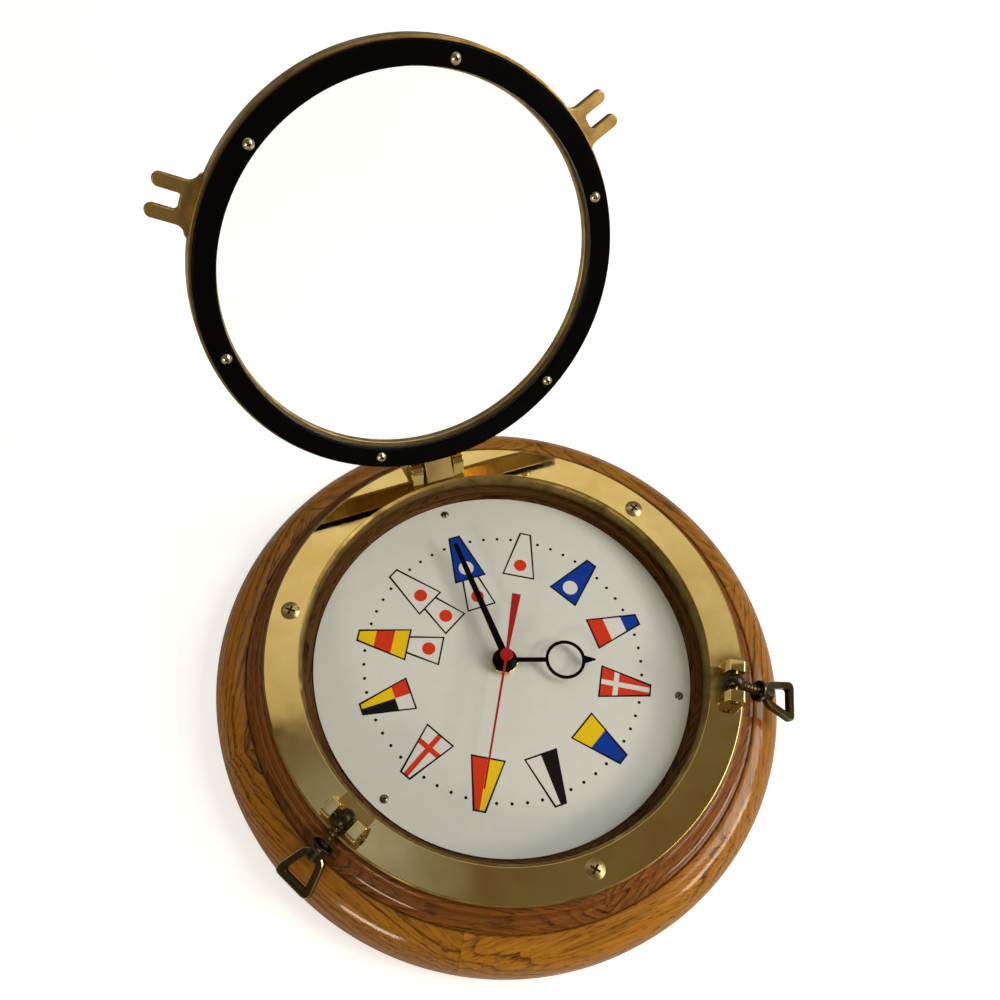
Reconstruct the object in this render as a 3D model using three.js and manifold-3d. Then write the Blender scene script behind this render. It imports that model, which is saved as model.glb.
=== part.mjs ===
// Porthole clock: a quartz clock in a turned oak case, shut by a hinged brass porthole window
// that two drop-bolt dogs clamp down. Millimetres, +Z out of the dial, +Y towards the hinge at
// 12 o'clock, origin at the centre of the flat back. It lies on its back with the window open
// on its stop and both dogs lying outward.

import * as THREE from "three";
import { mergeVertices } from "three/addons/utils/BufferGeometryUtils.js";
import Module from "manifold-3d";

const wasm = await Module();
wasm.setup();

// Clearances
const SLIDE = 0.3; // round a pin, pipe or screw, and between pieces let into each other
const RUN = 0.4; // under a piece that swings or closes over another
const PROUD = 0.5; // how far a pin's end stands out of its lug

// Facets round a full circle
const RING_FACETS = 48;
const ROUND_FACETS = 16;
const PIN_FACETS = 12;
const SCREW_FACETS = 8;
const HEX_SIDES = 6;
const CURVE_STEPS = 4; // along each rounded edge
const DOME_SWEEP = 70; // degrees of a screw dome's arc, from its rim to the flat of its crown
const WELD = 1e-4; // corners closer than this are one corner

// Window: heights are over the flange face when it is shut, widths run outwards from its opening
const FRAME_LIP_R = 92.5; // clear opening in front
const FRAME_LIP_SLOPE = 2;
const GLASS_LAP = 3.1; // glass behind the front lip
const GLASS_T = 4;
const FRAME_RIM_W = 9.9; // outside the glass, where the retainer's screws go in
const FRAME_FRONT_ROUND = 2.4;
const RETAINER_REVEAL = 0.9; // retainer's opening over the front lip's
const RETAINER_SHY = 1.4; // retainer's edge inside the frame's
const RETAINER_T = 3.3;
const RETAINER_EDGE = 0.7;
const WINDOW_SCREW_IN = 7.8; // from the frame's edge to the screws' circle
const WINDOW_SCREW_COUNT = 6;
const WINDOW_SCREW_START = -18.5; // clock angle of the first screw
const WINDOW_SCREW_HEAD_R = 2.8;
const WINDOW_SCREW_HEAD_H = 2;
const WINDOW_SCREW_R = 1.5;
const WINDOW_SCREW_GRIP = 4.5; // into the frame
const WINDOW_OPEN = 118; // degrees from shut to the stop

// Brass flange ring
const FRAME_LAP = 1.8; // the window's rim over the flange's bore
const FLANGE_W = 19.1;
const FLANGE_T = 4;
const FLANGE_EDGE = 1;
const FLANGE_SEAT = 1.5; // bevel round the bore, under the window's retainer
const FLANGE_LIP_T = 2;
const FLANGE_LIP_H = 6;
const FLANGE_SCREW_IN = 9.9; // from the outer edge
const FLANGE_SCREW_HEAD_R = 4.8;
const FLANGE_SCREW_DOME_H = 1.5;
const FLANGE_SCREW_R = 2.4;
const FLANGE_SCREW_L = 24;
const FLANGE_SCREW_ANGLES = [60, 180, 300];
const CROSS_W = 0.9; // cross recess in a screw head
const CROSS_SPAN = 4.4;
const CROSS_DEPTH = 1.4;

// Oak case: two glued layers, the back one with the bead, the front one with the cove
const BACK_LAYER_T = 26;
const FRONT_LAYER_T = 12;
const COVE_W = 9.9; // moulding outside the flange: a rounded edge, then a hollow
const COVE_ROUND = 2.2;
const COVE_LAND_W = 0.6; // flat between the flange and the rounded edge
const BEAD_STEP_W = 1; // flat between the cove and the bead
const BEAD_R = 16;
const BACK_EDGE_ROUND = 3;
const BORE_STEP = 2.5; // oak bore inside the flange's lip
const DIAL_LEDGE_W = 2; // oak left showing round the dial
const DIAL_SEAT_W = 11.2; // oak under the dial's edge
const PANEL_SEAT_W = 6; // oak over the back panel's edge
const BACK_PANEL_T = 5;

// Sawtooth hanger, let into the back at 12 o'clock
const HANGER_W = 46;
const HANGER_H = 11;
const HANGER_T = 1;
const HANGER_IN = 30; // from the case's edge to the middle of the strip
const HANGER_NAIL_ROOM = 8; // pocket below the strip, where a nail's head goes in
const HANGER_NAIL_DEPTH = 9;
const HANGER_TOOTH = 2;
const HANGER_TEETH = 10;
const HANGER_LAND_W = 6; // plain end of the strip, where its screw goes
const HANGER_SCREW_R = 1.3;
const HANGER_SCREW_HEAD_R = 2.6;
const HANGER_SCREW_HEAD_H = 0.9;
const HANGER_SCREW_L = 9;

// Dial
const DIAL_T = 1.5;
const DIAL_SCREW_IN = 5.9; // from the dial's edge
const DIAL_SCREW_ANGLES = [0, 120, 240];
const DIAL_SCREW_HEAD_R = 2.2;
const DIAL_SCREW_HEAD_H = 1.1;
const DIAL_SCREW_R = 1.1;
const DIAL_SCREW_L = 9;

// Hinge: the pin's axis runs along X
const HINGE_REACH = 6.2; // from the window's rim to the pin
const HINGE_H = 9.5;
const HINGE_PIN_R = 2.5;
const HINGE_LUG_T = 6;
const HINGE_KNUCKLE_R = 4.5;
const HINGE_LUG_HEEL = 6.5;
const HINGE_LUG_HEEL_H = 3.2;
const HINGE_LUG_LEAN = 15; // degrees over level where the lug's back leaves its knuckle
const TONGUE_W = 15;
const TONGUE_PLAY = 1.2;
const TONGUE_T = 8;
const TONGUE_ROOT = 1.8; // inside the frame's rim
const TONGUE_HEEL_FROM = -50; // degrees, where the tongue's underside meets its heel
const TONGUE_STOP_L = 2.5; // flat heel that meets the flange face at the stop

// Dogs: eye bolts that drop outwards from lugs on the flange, each with a hand nut
const DOG_ANGLES = { right: 118, left: 242 };
const DOG_PIN_IN = 7.1; // from the flange's outer edge
const DOG_PIN_H = 6.6;
const DOG_PIN_R = 2;
const DOG_LUG_T = 6;
const DOG_LUG_TOP = 10;
const DOG_LUG_INNER = 6; // from the pin inwards, along the foot
const DOG_LUG_OUTER = 5.2;
const DOG_LUG_RAMP = 2.6;
const DOG_LUG_ROUND = 1.5;
const EYE_R = 5.4;
const EYE_W = 6.6;
const EYE_PLAY = 1.8;
const BOLT_R = 2.5;
const BOLT_L = 22.5;
const NUT_START = 15; // from the pin to the near end of the nut
const NUT_RIM_R = 5.6;
const NUT_NECK_R = 4.4;
const NUT_RIM_L = 2.4;
const NUT_COLLAR_L = 8;
const LOOP_L = 16;
const LOOP_FAR_W = 23;
const LOOP_NEAR_W = 12;
const LOOP_BAR = 3.6;
const LOOP_T = 4;
const LOOP_CORNER = 2.4;
const LOOP_EDGE = 0.8;
const DOG_DROOP = 25; // degrees below level, at rest

// Forked ears on the window, which the eye bolts swing into
const EAR_PAST_PIN = 9; // prong tips outside the pins
const EAR_T = 3.2;
const EAR_PRONG_W = 6.4;
const EAR_SLOT_PAST_PIN = 4.5; // slot's end inside the pins
const EAR_SLOT_CORNER = 1.6;
const EAR_FLARE = 5;
const EAR_TENON = 2; // root let into the frame's rim

// Hands, by height of their middle over the dial, and where they point (clock angle)
const HAND_T = 0.8;
const HOUR_H = 4.6;
const HOUR_ANGLE = 108.4;
const HOUR_RING_AT = 31.9;
const HOUR_RING_R = 10.6;
const HOUR_RING_W = 1.7;
const HOUR_STEM_W = 2.4;
const HOUR_TIP = 48;
const HOUR_TIP_W = 4.4;
const HOUR_HUB_R = 6.6;
const MINUTE_H = 8.5;
const MINUTE_ANGLE = 357.9;
const MINUTE_L = 70.7;
const MINUTE_ROOT_W = 3.8;
const MINUTE_END_W = 2.6;
const MINUTE_HUB_R = 4.4;
const MINUTE_BOSS_R = 3.4;
const MINUTE_BOSS_H = 2;
const SECOND_H = 12.5;
const SECOND_ANGLE = 210;
const SECOND_L = 70;
const SECOND_TIP_W = 0.7;
const SECOND_NECK_W = 1.1;
const SECOND_TAIL_L = 34.7;
const SECOND_TAIL_W = 4.8;
const SECOND_HUB_R = 3.4;
const SECOND_BOSS_R = 2;
const SECOND_BOSS_H = 1.6;

// Arbors through the dial, each pipe turning round the one inside it
const SECOND_ARBOR_R = 0.6;
const MINUTE_PIPE_WALL = 0.8;
const HOUR_PIPE_WALL = 0.7;
const TUBE_WALL = 0.9;
const TUBE_STAND = 3.8; // threaded tube over the dial's face
const PIPE_STAND = 0.5; // a pipe's end over its hand
const WASHER_R = 6.4;
const WASHER_T = 0.6;
const NUT_ACROSS_CORNERS = 14.4;
const NUT_T = 2.8;

// Quartz movement behind the dial
const MOVEMENT_DEPTH = 16.4;
const MOVEMENT_WALL = 1.2;
const MOVEMENT_FRONT_T = 1.5;
const COVER_T = 1.4;
const BATTERY_R = 7.25;
const BATTERY_L = 50.5; // with its nub
const BATTERY_NUB_R = 2.7;
const BATTERY_NUB_L = 1.5;
const CONTACT_T = 0.6;
const CONTACT_W = 10;
const MOTOR_W = 26;
const MOTOR_H = 24;
const MOTOR_T = 7;
const MOTOR_SOCKET_DEPTH = 4;
const COIL_R = 3;
const BOARD_W = 10;
const BOARD_H = 32;
const BOARD_T = 1.2;

// Motion work: 12 to 1 from the minute pipe to the hour pipe
const GEAR_MODULE = 0.55;
const GEAR_T = 1.2;
const GEAR_GAP = 1.1;
const CANNON_TEETH = 10;
const MOTION_TEETH = 30;
const MOTION_PINION_TEETH = 8;
const HOUR_TEETH = 32;
const TOOTH_TIP = 0.75; // modules outside the pitch circle
const TOOTH_ROOT = 1.05; // modules inside it
const TOOTH_TIP_HALF = 0.08; // half width of a tooth's tip and root, as shares of the pitch
const TOOTH_ROOT_HALF = 0.25;
const STUD_R = 0.8;
const KNOB_R = 4.5;
const KNOB_T = 1.9;
const KNOB_ARBOR_R = 1.2;

// Radii that follow from the sizes above, from the window's opening outwards and then inwards
const GLASS_R = FRAME_LIP_R + GLASS_LAP;
const FRAME_OUT_R = GLASS_R + SLIDE + FRAME_RIM_W;
const WINDOW_SCREW_CIRCLE_R = FRAME_OUT_R - WINDOW_SCREW_IN;
const HINGE_R = FRAME_OUT_R + HINGE_REACH;
const HINGE_LUG_GAP = TONGUE_W + 2 * TONGUE_PLAY;
const FLANGE_IN_R = FRAME_OUT_R - FRAME_LAP;
const FLANGE_OUT_R = FLANGE_IN_R + FLANGE_W;
const FLANGE_SCREW_CIRCLE_R = FLANGE_OUT_R - FLANGE_SCREW_IN;
const DOG_PIN_CIRCLE_R = FLANGE_OUT_R - DOG_PIN_IN;
const DOG_LUG_GAP = EYE_W + 2 * EYE_PLAY;
const EAR_SLOT_W = EYE_W + 2 * RUN;
const EAR_TIP_R = DOG_PIN_CIRCLE_R + EAR_PAST_PIN;
const EAR_SLOT_END_R = DOG_PIN_CIRCLE_R - EAR_SLOT_PAST_PIN;
const EAR_ROOT_R = FRAME_OUT_R - EAR_TENON;
const CASE_R = FLANGE_OUT_R + COVE_W + BEAD_STEP_W + BEAD_R;
const CASE_BORE_R = FLANGE_IN_R - BORE_STEP;
const DIAL_R = CASE_BORE_R - DIAL_LEDGE_W - SLIDE;
const DIAL_SCREW_CIRCLE_R = DIAL_R - DIAL_SCREW_IN;
const WELL_R = DIAL_R - DIAL_SEAT_W; // hollow behind the dial, for the movement
const BACK_PANEL_R = WELL_R + PANEL_SEAT_W;
const HANGER_R = CASE_R - HANGER_IN;

// Levels that follow from the sizes above
const DIAL_SEAT_Z = BACK_LAYER_T - DIAL_T;
const DIAL_Z = BACK_LAYER_T;
const OAK_TOP_Z = BACK_LAYER_T + FRONT_LAYER_T;
const FACE_Z = OAK_TOP_Z + FLANGE_T;
const LAND_H = RUN + RETAINER_T + SLIDE;
const LIP_H = LAND_H + GLASS_T + SLIDE;
const EAR_LOW_H = DOG_LUG_TOP + RUN;
const EAR_TOP_H = EAR_LOW_H + EAR_T;
const FRAME_FRONT_H = EAR_TOP_H + SLIDE;
const MOVEMENT_FRONT_Z = DIAL_SEAT_Z - SLIDE;
const MOVEMENT_BACK_Z = MOVEMENT_FRONT_Z - MOVEMENT_DEPTH;
const CASE_REAR_Z = MOVEMENT_BACK_Z + COVER_T + SLIDE;
const CAVITY_TOP_Z = MOVEMENT_FRONT_Z - MOVEMENT_FRONT_T;
const HOUR_GEAR_Z = CAVITY_TOP_Z - SLIDE - GEAR_T;
const CANNON_Z = HOUR_GEAR_Z - GEAR_GAP - GEAR_T;
const MINUTE_PIPE_IN_R = SECOND_ARBOR_R + SLIDE;
const MINUTE_PIPE_R = MINUTE_PIPE_IN_R + MINUTE_PIPE_WALL;
const HOUR_PIPE_IN_R = MINUTE_PIPE_R + SLIDE;
const HOUR_PIPE_R = HOUR_PIPE_IN_R + HOUR_PIPE_WALL;
const TUBE_IN_R = HOUR_PIPE_R + SLIDE;
const TUBE_R = TUBE_IN_R + TUBE_WALL;
const GEAR_CENTRES = (GEAR_MODULE * (CANNON_TEETH + MOTION_TEETH)) / 2;
const MOVEMENT_IN_W = BATTERY_L + 2 * (SLIDE + CONTACT_T + SLIDE);
const MOVEMENT_W = MOVEMENT_IN_W + 2 * MOVEMENT_WALL;

const radians = THREE.MathUtils.degToRad;

// A closed geometry as a solid that can be joined and cut
function solid(geometry) {
  const bare = geometry.clone();
  bare.deleteAttribute("normal");
  bare.deleteAttribute("uv");
  const welded = mergeVertices(bare, WELD);
  const points = welded.attributes.position;
  const corners = [];
  let volume = 0;
  const [a, b, c] = [new THREE.Vector3(), new THREE.Vector3(), new THREE.Vector3()];
  for (let i = 0; i < welded.index.count; i += 3) {
    const [p, q, r] = welded.index.array.slice(i, i + 3);
    if (p === q || q === r || r === p) continue;
    corners.push([p, q, r]);
    a.fromBufferAttribute(points, p);
    b.fromBufferAttribute(points, q);
    c.fromBufferAttribute(points, r);
    volume += a.dot(b.cross(c));
  }
  const outward = volume > 0 ? corners : corners.map(([p, q, r]) => [p, r, q]);
  const vertProperties = new Float32Array(points.array);
  const triVerts = new Uint32Array(outward.flat());
  return new wasm.Manifold(new wasm.Mesh({ numProp: 3, vertProperties, triVerts }));
}

// A ring or spindle round Z from its half section, a list of [radius, height]
function turned(section, facets) {
  const points = section.map(([r, z]) => new THREE.Vector2(Math.max(r, 0), z));
  const touchesAxis = section[0][0] === 0;
  if (!touchesAxis) points.push(points[0]);
  return new THREE.LatheGeometry(points, facets).rotateX(Math.PI / 2);
}

// A drawn shape made a plate from height z0 up, or centred across X with the shape in the YZ plane
function plate(shape, thickness, z0 = 0) {
  const settings = { depth: thickness, bevelEnabled: false, curveSegments: CURVE_STEPS };
  return new THREE.ExtrudeGeometry(shape, settings).translate(0, 0, z0);
}

function acrossX(shape, width, x = 0) {
  const cycle = new THREE.Matrix4();
  cycle.makeBasis(new THREE.Vector3(0, 1, 0), new THREE.Vector3(0, 0, 1), new THREE.Vector3(1, 0, 0));
  return plate(shape, width, -width / 2).applyMatrix4(cycle).translate(x, 0, 0);
}

function rod(radius, z0, z1, facets = PIN_FACETS) {
  return new THREE.CylinderGeometry(radius, radius, z1 - z0, facets)
    .rotateX(Math.PI / 2)
    .translate(0, 0, (z0 + z1) / 2);
}

function rodAlongX(radius, length, facets = PIN_FACETS) {
  return rod(radius, -length / 2, length / 2, facets).rotateY(Math.PI / 2);
}

function block(width, depth, z0, z1, x = 0, y = 0) {
  return new THREE.BoxGeometry(width, depth, z1 - z0).translate(x, y, (z0 + z1) / 2);
}

function polygon(points) {
  return new THREE.Shape(points.map(([x, y]) => new THREE.Vector2(x, y)));
}

// Points of a rounded corner: an arc about a centre, from one angle to another (degrees)
function arc(centreX, centreY, radiusX, radiusY, from, to) {
  const points = [];
  for (let i = 0; i <= CURVE_STEPS; i += 1) {
    const angle = radians(from + ((to - from) * i) / CURVE_STEPS);
    points.push([centreX + radiusX * Math.cos(angle), centreY + radiusY * Math.sin(angle)]);
  }
  return points;
}

// A point on a circle at a clock angle, and a geometry turned to it from 12 o'clock
function atClock(radius, angle) {
  return [radius * Math.sin(radians(angle)), radius * Math.cos(radians(angle))];
}

function turnedTo(geometry, angle) {
  return geometry.rotateZ(-radians(angle));
}

function joined(...geometries) {
  return geometries.map(solid).reduce((whole, next) => whole.add(next));
}

function cut(body, ...geometries) {
  return geometries.reduce((whole, next) => whole.subtract(solid(next)), body);
}

// Finishes
const finish = (color, roughness, metalness = 0, extra = {}) =>
  new THREE.MeshStandardMaterial({ color, roughness, metalness, ...extra });
const oak = () => finish(0xa9722f, 0.35);
const polishedBrass = () => finish(0xcdb46c, 0.18, 1);
const castBrass = () => finish(0x7f6c3a, 0.45, 1);
const antiqueBrass = () => finish(0x4a4030, 0.5, 1);
const nickel = () => finish(0xb9b2a2, 0.3, 1);
const steel = () => finish(0x8d8f92, 0.35, 1);
const blackLacquer = () => finish(0x0b0a0a, 0.15);
const blackPlastic = () => finish(0x17181a, 0.5);
const whitePlastic = () => finish(0xd9d6cc, 0.5);

function named(name, body, material, parent) {
  const shape = body instanceof THREE.BufferGeometry ? solid(body) : body;
  const { numProp, vertProperties, triVerts } = shape.getMesh();
  const positions = new Float32Array((vertProperties.length / numProp) * 3);
  for (let i = 0; i < positions.length / 3; i += 1) {
    positions.set(vertProperties.slice(i * numProp, i * numProp + 3), i * 3);
  }
  const geometry = new THREE.BufferGeometry();
  geometry.setAttribute("position", new THREE.BufferAttribute(positions, 3));
  geometry.setIndex(new THREE.BufferAttribute(new Uint32Array(triVerts), 1));
  geometry.computeVertexNormals();
  const mesh = new THREE.Mesh(geometry, material);
  mesh.name = name;
  parent.add(mesh);
}

// A cross recess for a screw head whose top is at height z
function crossRecess(span, z) {
  const depth = [z - CROSS_DEPTH, z + CROSS_DEPTH];
  return [block(span, CROSS_W, ...depth), block(CROSS_W, span, ...depth)];
}

// Where a flange or dial screw stands, and the hole it needs
function screwHole(radius, z0, z1, circle, angle) {
  return rod(radius + SLIDE, z0, z1, SCREW_FACETS).translate(...atClock(circle, angle), 0);
}

// Oak case

const flangeScrewHoles = () =>
  FLANGE_SCREW_ANGLES.map((angle) =>
    screwHole(FLANGE_SCREW_R, FACE_Z - FLANGE_SCREW_L - SLIDE, FACE_Z + PROUD, FLANGE_SCREW_CIRCLE_R, angle),
  );

const dialScrewHoles = () =>
  DIAL_SCREW_ANGLES.map((angle) =>
    screwHole(DIAL_SCREW_R, DIAL_Z - DIAL_SCREW_L - SLIDE, DIAL_Z + PROUD, DIAL_SCREW_CIRCLE_R, angle),
  );

const hangerScrewX = (HANGER_W - HANGER_LAND_W) / 2;

function hangerScrewHoles(depth) {
  return [-1, 1].map((side) => {
    const hole = rod(HANGER_SCREW_R + SLIDE, -PROUD, depth, SCREW_FACETS);
    return hole.translate(side * hangerScrewX, HANGER_R, 0);
  });
}

function oakBackRing() {
  const rebateR = DIAL_R + SLIDE;
  const panelR = BACK_PANEL_R + SLIDE;
  const panelTop = BACK_PANEL_T + SLIDE;
  const bead = arc(CASE_R - BEAD_R, BACK_LAYER_T - BEAD_R, BEAD_R, BEAD_R, 0, 90);
  const backEdge = arc(CASE_R - BACK_EDGE_ROUND, BACK_EDGE_ROUND, BACK_EDGE_ROUND, BACK_EDGE_ROUND, -90, 0);
  const section = [
    [WELL_R, panelTop],
    [panelR, panelTop],
    [panelR, 0],
    ...backEdge,
    ...bead,
    [rebateR, BACK_LAYER_T],
    [rebateR, DIAL_SEAT_Z],
    [WELL_R, DIAL_SEAT_Z],
  ];
  const pocketH = HANGER_H + 2 * SLIDE;
  const stripPocket = block(HANGER_W + 2 * SLIDE, pocketH, -PROUD, HANGER_T + 2 * SLIDE, 0, HANGER_R);
  const nailPocketW = HANGER_W - 2 * HANGER_LAND_W;
  const nailPocketH = pocketH + HANGER_NAIL_ROOM;
  const nailPocketY = HANGER_R - HANGER_NAIL_ROOM / 2;
  const nailPocket = block(nailPocketW, nailPocketH, -PROUD, HANGER_NAIL_DEPTH, 0, nailPocketY);
  const body = solid(turned(section, RING_FACETS));
  const screwDepth = HANGER_SCREW_L + SLIDE;
  return cut(
    body,
    stripPocket,
    nailPocket,
    ...hangerScrewHoles(screwDepth),
    ...flangeScrewHoles(),
    ...dialScrewHoles(),
  );
}

function oakFrontRing() {
  const counterboreR = FLANGE_IN_R + FLANGE_LIP_T + SLIDE;
  const counterboreZ = OAK_TOP_Z - FLANGE_LIP_H - SLIDE;
  const roundR = FLANGE_OUT_R + COVE_LAND_W;
  const hollowW = COVE_W - COVE_LAND_W - COVE_ROUND;
  const hollowH = FRONT_LAYER_T - COVE_ROUND;
  const hollow = arc(FLANGE_OUT_R + COVE_W, BACK_LAYER_T + hollowH, hollowW, hollowH, 270, 180);
  const edge = arc(roundR, OAK_TOP_Z - COVE_ROUND, COVE_ROUND, COVE_ROUND, 0, 90);
  const section = [
    [CASE_BORE_R, BACK_LAYER_T],
    ...hollow,
    ...edge.slice(1),
    [counterboreR, OAK_TOP_Z],
    [counterboreR, counterboreZ],
    [CASE_BORE_R, counterboreZ],
  ];
  return cut(solid(turned(section, RING_FACETS)), ...flangeScrewHoles());
}

function backPanel() {
  return turned([[0, 0], [BACK_PANEL_R, 0], [BACK_PANEL_R, BACK_PANEL_T], [0, BACK_PANEL_T]], RING_FACETS);
}

function hangerStrip() {
  const toothed = HANGER_W - 2 * HANGER_LAND_W;
  const pitch = toothed / HANGER_TEETH;
  const low = HANGER_R - HANGER_H / 2;
  const high = HANGER_R + HANGER_H / 2;
  const outline = [[-HANGER_W / 2, high], [-HANGER_W / 2, low], [-toothed / 2, low]];
  for (let i = 0; i < HANGER_TEETH; i += 1) {
    outline.push([-toothed / 2 + (i + 0.5) * pitch, low + HANGER_TOOTH]);
    outline.push([-toothed / 2 + (i + 1) * pitch, low]);
  }
  outline.push([HANGER_W / 2, low], [HANGER_W / 2, high]);
  const strip = solid(plate(polygon(outline), HANGER_T, SLIDE));
  return cut(strip, ...hangerScrewHoles(HANGER_SCREW_L), ...hangerCountersinks());
}

const hangerHeadTop = SLIDE + HANGER_T - HANGER_SCREW_HEAD_H;
const hangerHeadFoot = SLIDE + HANGER_T;

function hangerCountersinks() {
  const [wide, narrow] = [HANGER_SCREW_HEAD_R + SLIDE, HANGER_SCREW_R + SLIDE];
  const section = [
    [0, -PROUD],
    [wide, -PROUD],
    [wide, hangerHeadTop],
    [narrow, hangerHeadFoot],
    [0, hangerHeadFoot],
  ];
  return [-1, 1].map((side) => turned(section, SCREW_FACETS).translate(side * hangerScrewX, HANGER_R, 0));
}

function hangerScrew() {
  const head = [[0, hangerHeadTop], [HANGER_SCREW_HEAD_R, hangerHeadTop], [HANGER_SCREW_R, hangerHeadFoot]];
  const point = HANGER_SCREW_L - HANGER_SCREW_R;
  return turned([...head, [HANGER_SCREW_R, point], [0, HANGER_SCREW_L]], SCREW_FACETS);
}

// Flange ring, with the hinge lugs and the lugs of both dogs

function hingeLug(side) {
  const toAxis = FACE_Z + HINGE_H;
  const foot = FACE_Z - FLANGE_EDGE;
  const shape = polygon([
    [FRAME_OUT_R + RUN, foot],
    [HINGE_R + HINGE_LUG_HEEL, foot],
    [HINGE_R + HINGE_LUG_HEEL, FACE_Z + HINGE_LUG_HEEL_H],
    ...arc(HINGE_R, toAxis, HINGE_KNUCKLE_R, HINGE_KNUCKLE_R, HINGE_LUG_LEAN, 180),
  ]);
  return acrossX(shape, HINGE_LUG_T, (side * (HINGE_LUG_GAP + HINGE_LUG_T)) / 2);
}

function dogLug(side, angle) {
  const inner = DOG_PIN_CIRCLE_R - DOG_LUG_INNER;
  const outer = DOG_PIN_CIRCLE_R + DOG_LUG_OUTER;
  const foot = FACE_Z - FLANGE_EDGE;
  const top = FACE_Z + DOG_LUG_TOP;
  const shape = polygon([
    [inner, foot],
    [outer, foot],
    ...arc(outer - DOG_LUG_ROUND, top - DOG_LUG_ROUND, DOG_LUG_ROUND, DOG_LUG_ROUND, 0, 90),
    [inner + DOG_LUG_RAMP, top],
    [inner, FACE_Z + DOG_LUG_ROUND],
  ]);
  return turnedTo(acrossX(shape, DOG_LUG_T, (side * (DOG_LUG_GAP + DOG_LUG_T)) / 2), angle);
}

const hingePinL = HINGE_LUG_GAP + 2 * HINGE_LUG_T + 2 * PROUD;
const dogPinL = DOG_LUG_GAP + 2 * DOG_LUG_T + 2 * PROUD;

function flangeRing() {
  const lipOutR = FLANGE_IN_R + FLANGE_LIP_T;
  const section = [
    [FLANGE_IN_R, OAK_TOP_Z - FLANGE_LIP_H],
    [lipOutR, OAK_TOP_Z - FLANGE_LIP_H],
    [lipOutR, OAK_TOP_Z],
    [FLANGE_OUT_R, OAK_TOP_Z],
    [FLANGE_OUT_R, FACE_Z - FLANGE_EDGE],
    [FLANGE_OUT_R - FLANGE_EDGE, FACE_Z],
    [FLANGE_IN_R + FLANGE_SEAT, FACE_Z],
    [FLANGE_IN_R, FACE_Z - FLANGE_SEAT],
  ];
  const lugs = [hingeLug(-1), hingeLug(1)];
  const holes = [rodAlongX(HINGE_PIN_R + SLIDE, 2 * hingePinL).translate(0, HINGE_R, FACE_Z + HINGE_H)];
  for (const angle of Object.values(DOG_ANGLES)) {
    lugs.push(dogLug(-1, angle), dogLug(1, angle));
    const hole = rodAlongX(DOG_PIN_R + SLIDE, 2 * dogPinL);
    holes.push(turnedTo(hole.translate(0, DOG_PIN_CIRCLE_R, FACE_Z + DOG_PIN_H), angle));
  }
  const sink = FLANGE_SCREW_HEAD_R - FLANGE_SCREW_R;
  const wide = FLANGE_SCREW_HEAD_R + SLIDE;
  const narrow = FLANGE_SCREW_R + SLIDE;
  const cone = [
    [0, FACE_Z - sink],
    [narrow, FACE_Z - sink],
    [wide, FACE_Z],
    [wide, FACE_Z + PROUD],
    [0, FACE_Z + PROUD],
  ];
  for (const angle of FLANGE_SCREW_ANGLES) {
    holes.push(turned(cone, ROUND_FACETS).translate(...atClock(FLANGE_SCREW_CIRCLE_R, angle), 0));
  }
  return cut(joined(turned(section, RING_FACETS), ...lugs), ...holes, ...flangeScrewHoles());
}

function flangeScrew() {
  const sink = FLANGE_SCREW_HEAD_R - FLANGE_SCREW_R;
  const top = FACE_Z + FLANGE_SCREW_DOME_H;
  const end = FACE_Z - FLANGE_SCREW_L;
  const section = [
    [0, end],
    [FLANGE_SCREW_R, end + FLANGE_SCREW_R],
    [FLANGE_SCREW_R, FACE_Z - sink],
    ...arc(0, FACE_Z, FLANGE_SCREW_HEAD_R, FLANGE_SCREW_DOME_H, 0, DOME_SWEEP),
    [0, top],
  ];
  return cut(solid(turned(section, ROUND_FACETS)), ...crossRecess(CROSS_SPAN, top));
}

// Dial and its screws

function dialPlate() {
  const centreR = TUBE_R + SLIDE;
  const section = [[centreR, DIAL_SEAT_Z], [DIAL_R, DIAL_SEAT_Z], [DIAL_R, DIAL_Z], [centreR, DIAL_Z]];
  return cut(solid(turned(section, RING_FACETS)), ...dialScrewHoles());
}

function dialScrew() {
  const end = DIAL_Z - DIAL_SCREW_L;
  const section = [
    [0, end],
    [DIAL_SCREW_R, end + DIAL_SCREW_R],
    [DIAL_SCREW_R, DIAL_Z],
    ...arc(0, DIAL_Z, DIAL_SCREW_HEAD_R, DIAL_SCREW_HEAD_H, 0, DOME_SWEEP),
    [0, DIAL_Z + DIAL_SCREW_HEAD_H],
  ];
  return turned(section, SCREW_FACETS);
}

// Window, drawn shut over the flange face: the frame with its hinge tongue, ears, glass and retainer

// The tongue's heel: an arc that just clears the flange face, then a flat that meets it at the stop
function hingeTongue() {
  const heelR = HINGE_H - SLIDE;
  const stopAt = WINDOW_OPEN - 90;
  const [flatY, flatZ] = [Math.cos(radians(stopAt)), Math.sin(radians(stopAt))];
  const rootY = FRAME_OUT_R - TONGUE_ROOT - HINGE_R;
  const shape = polygon([
    [rootY, -TONGUE_T / 2],
    ...arc(0, 0, heelR, heelR, TONGUE_HEEL_FROM, stopAt),
    [heelR * flatY - TONGUE_STOP_L * flatZ, heelR * flatZ + TONGUE_STOP_L * flatY],
    [0, FRAME_FRONT_H - HINGE_H],
    [rootY, FRAME_FRONT_H - HINGE_H - FRAME_FRONT_ROUND],
  ]);
  return acrossX(shape, TONGUE_W).translate(0, HINGE_R, HINGE_H);
}

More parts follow.
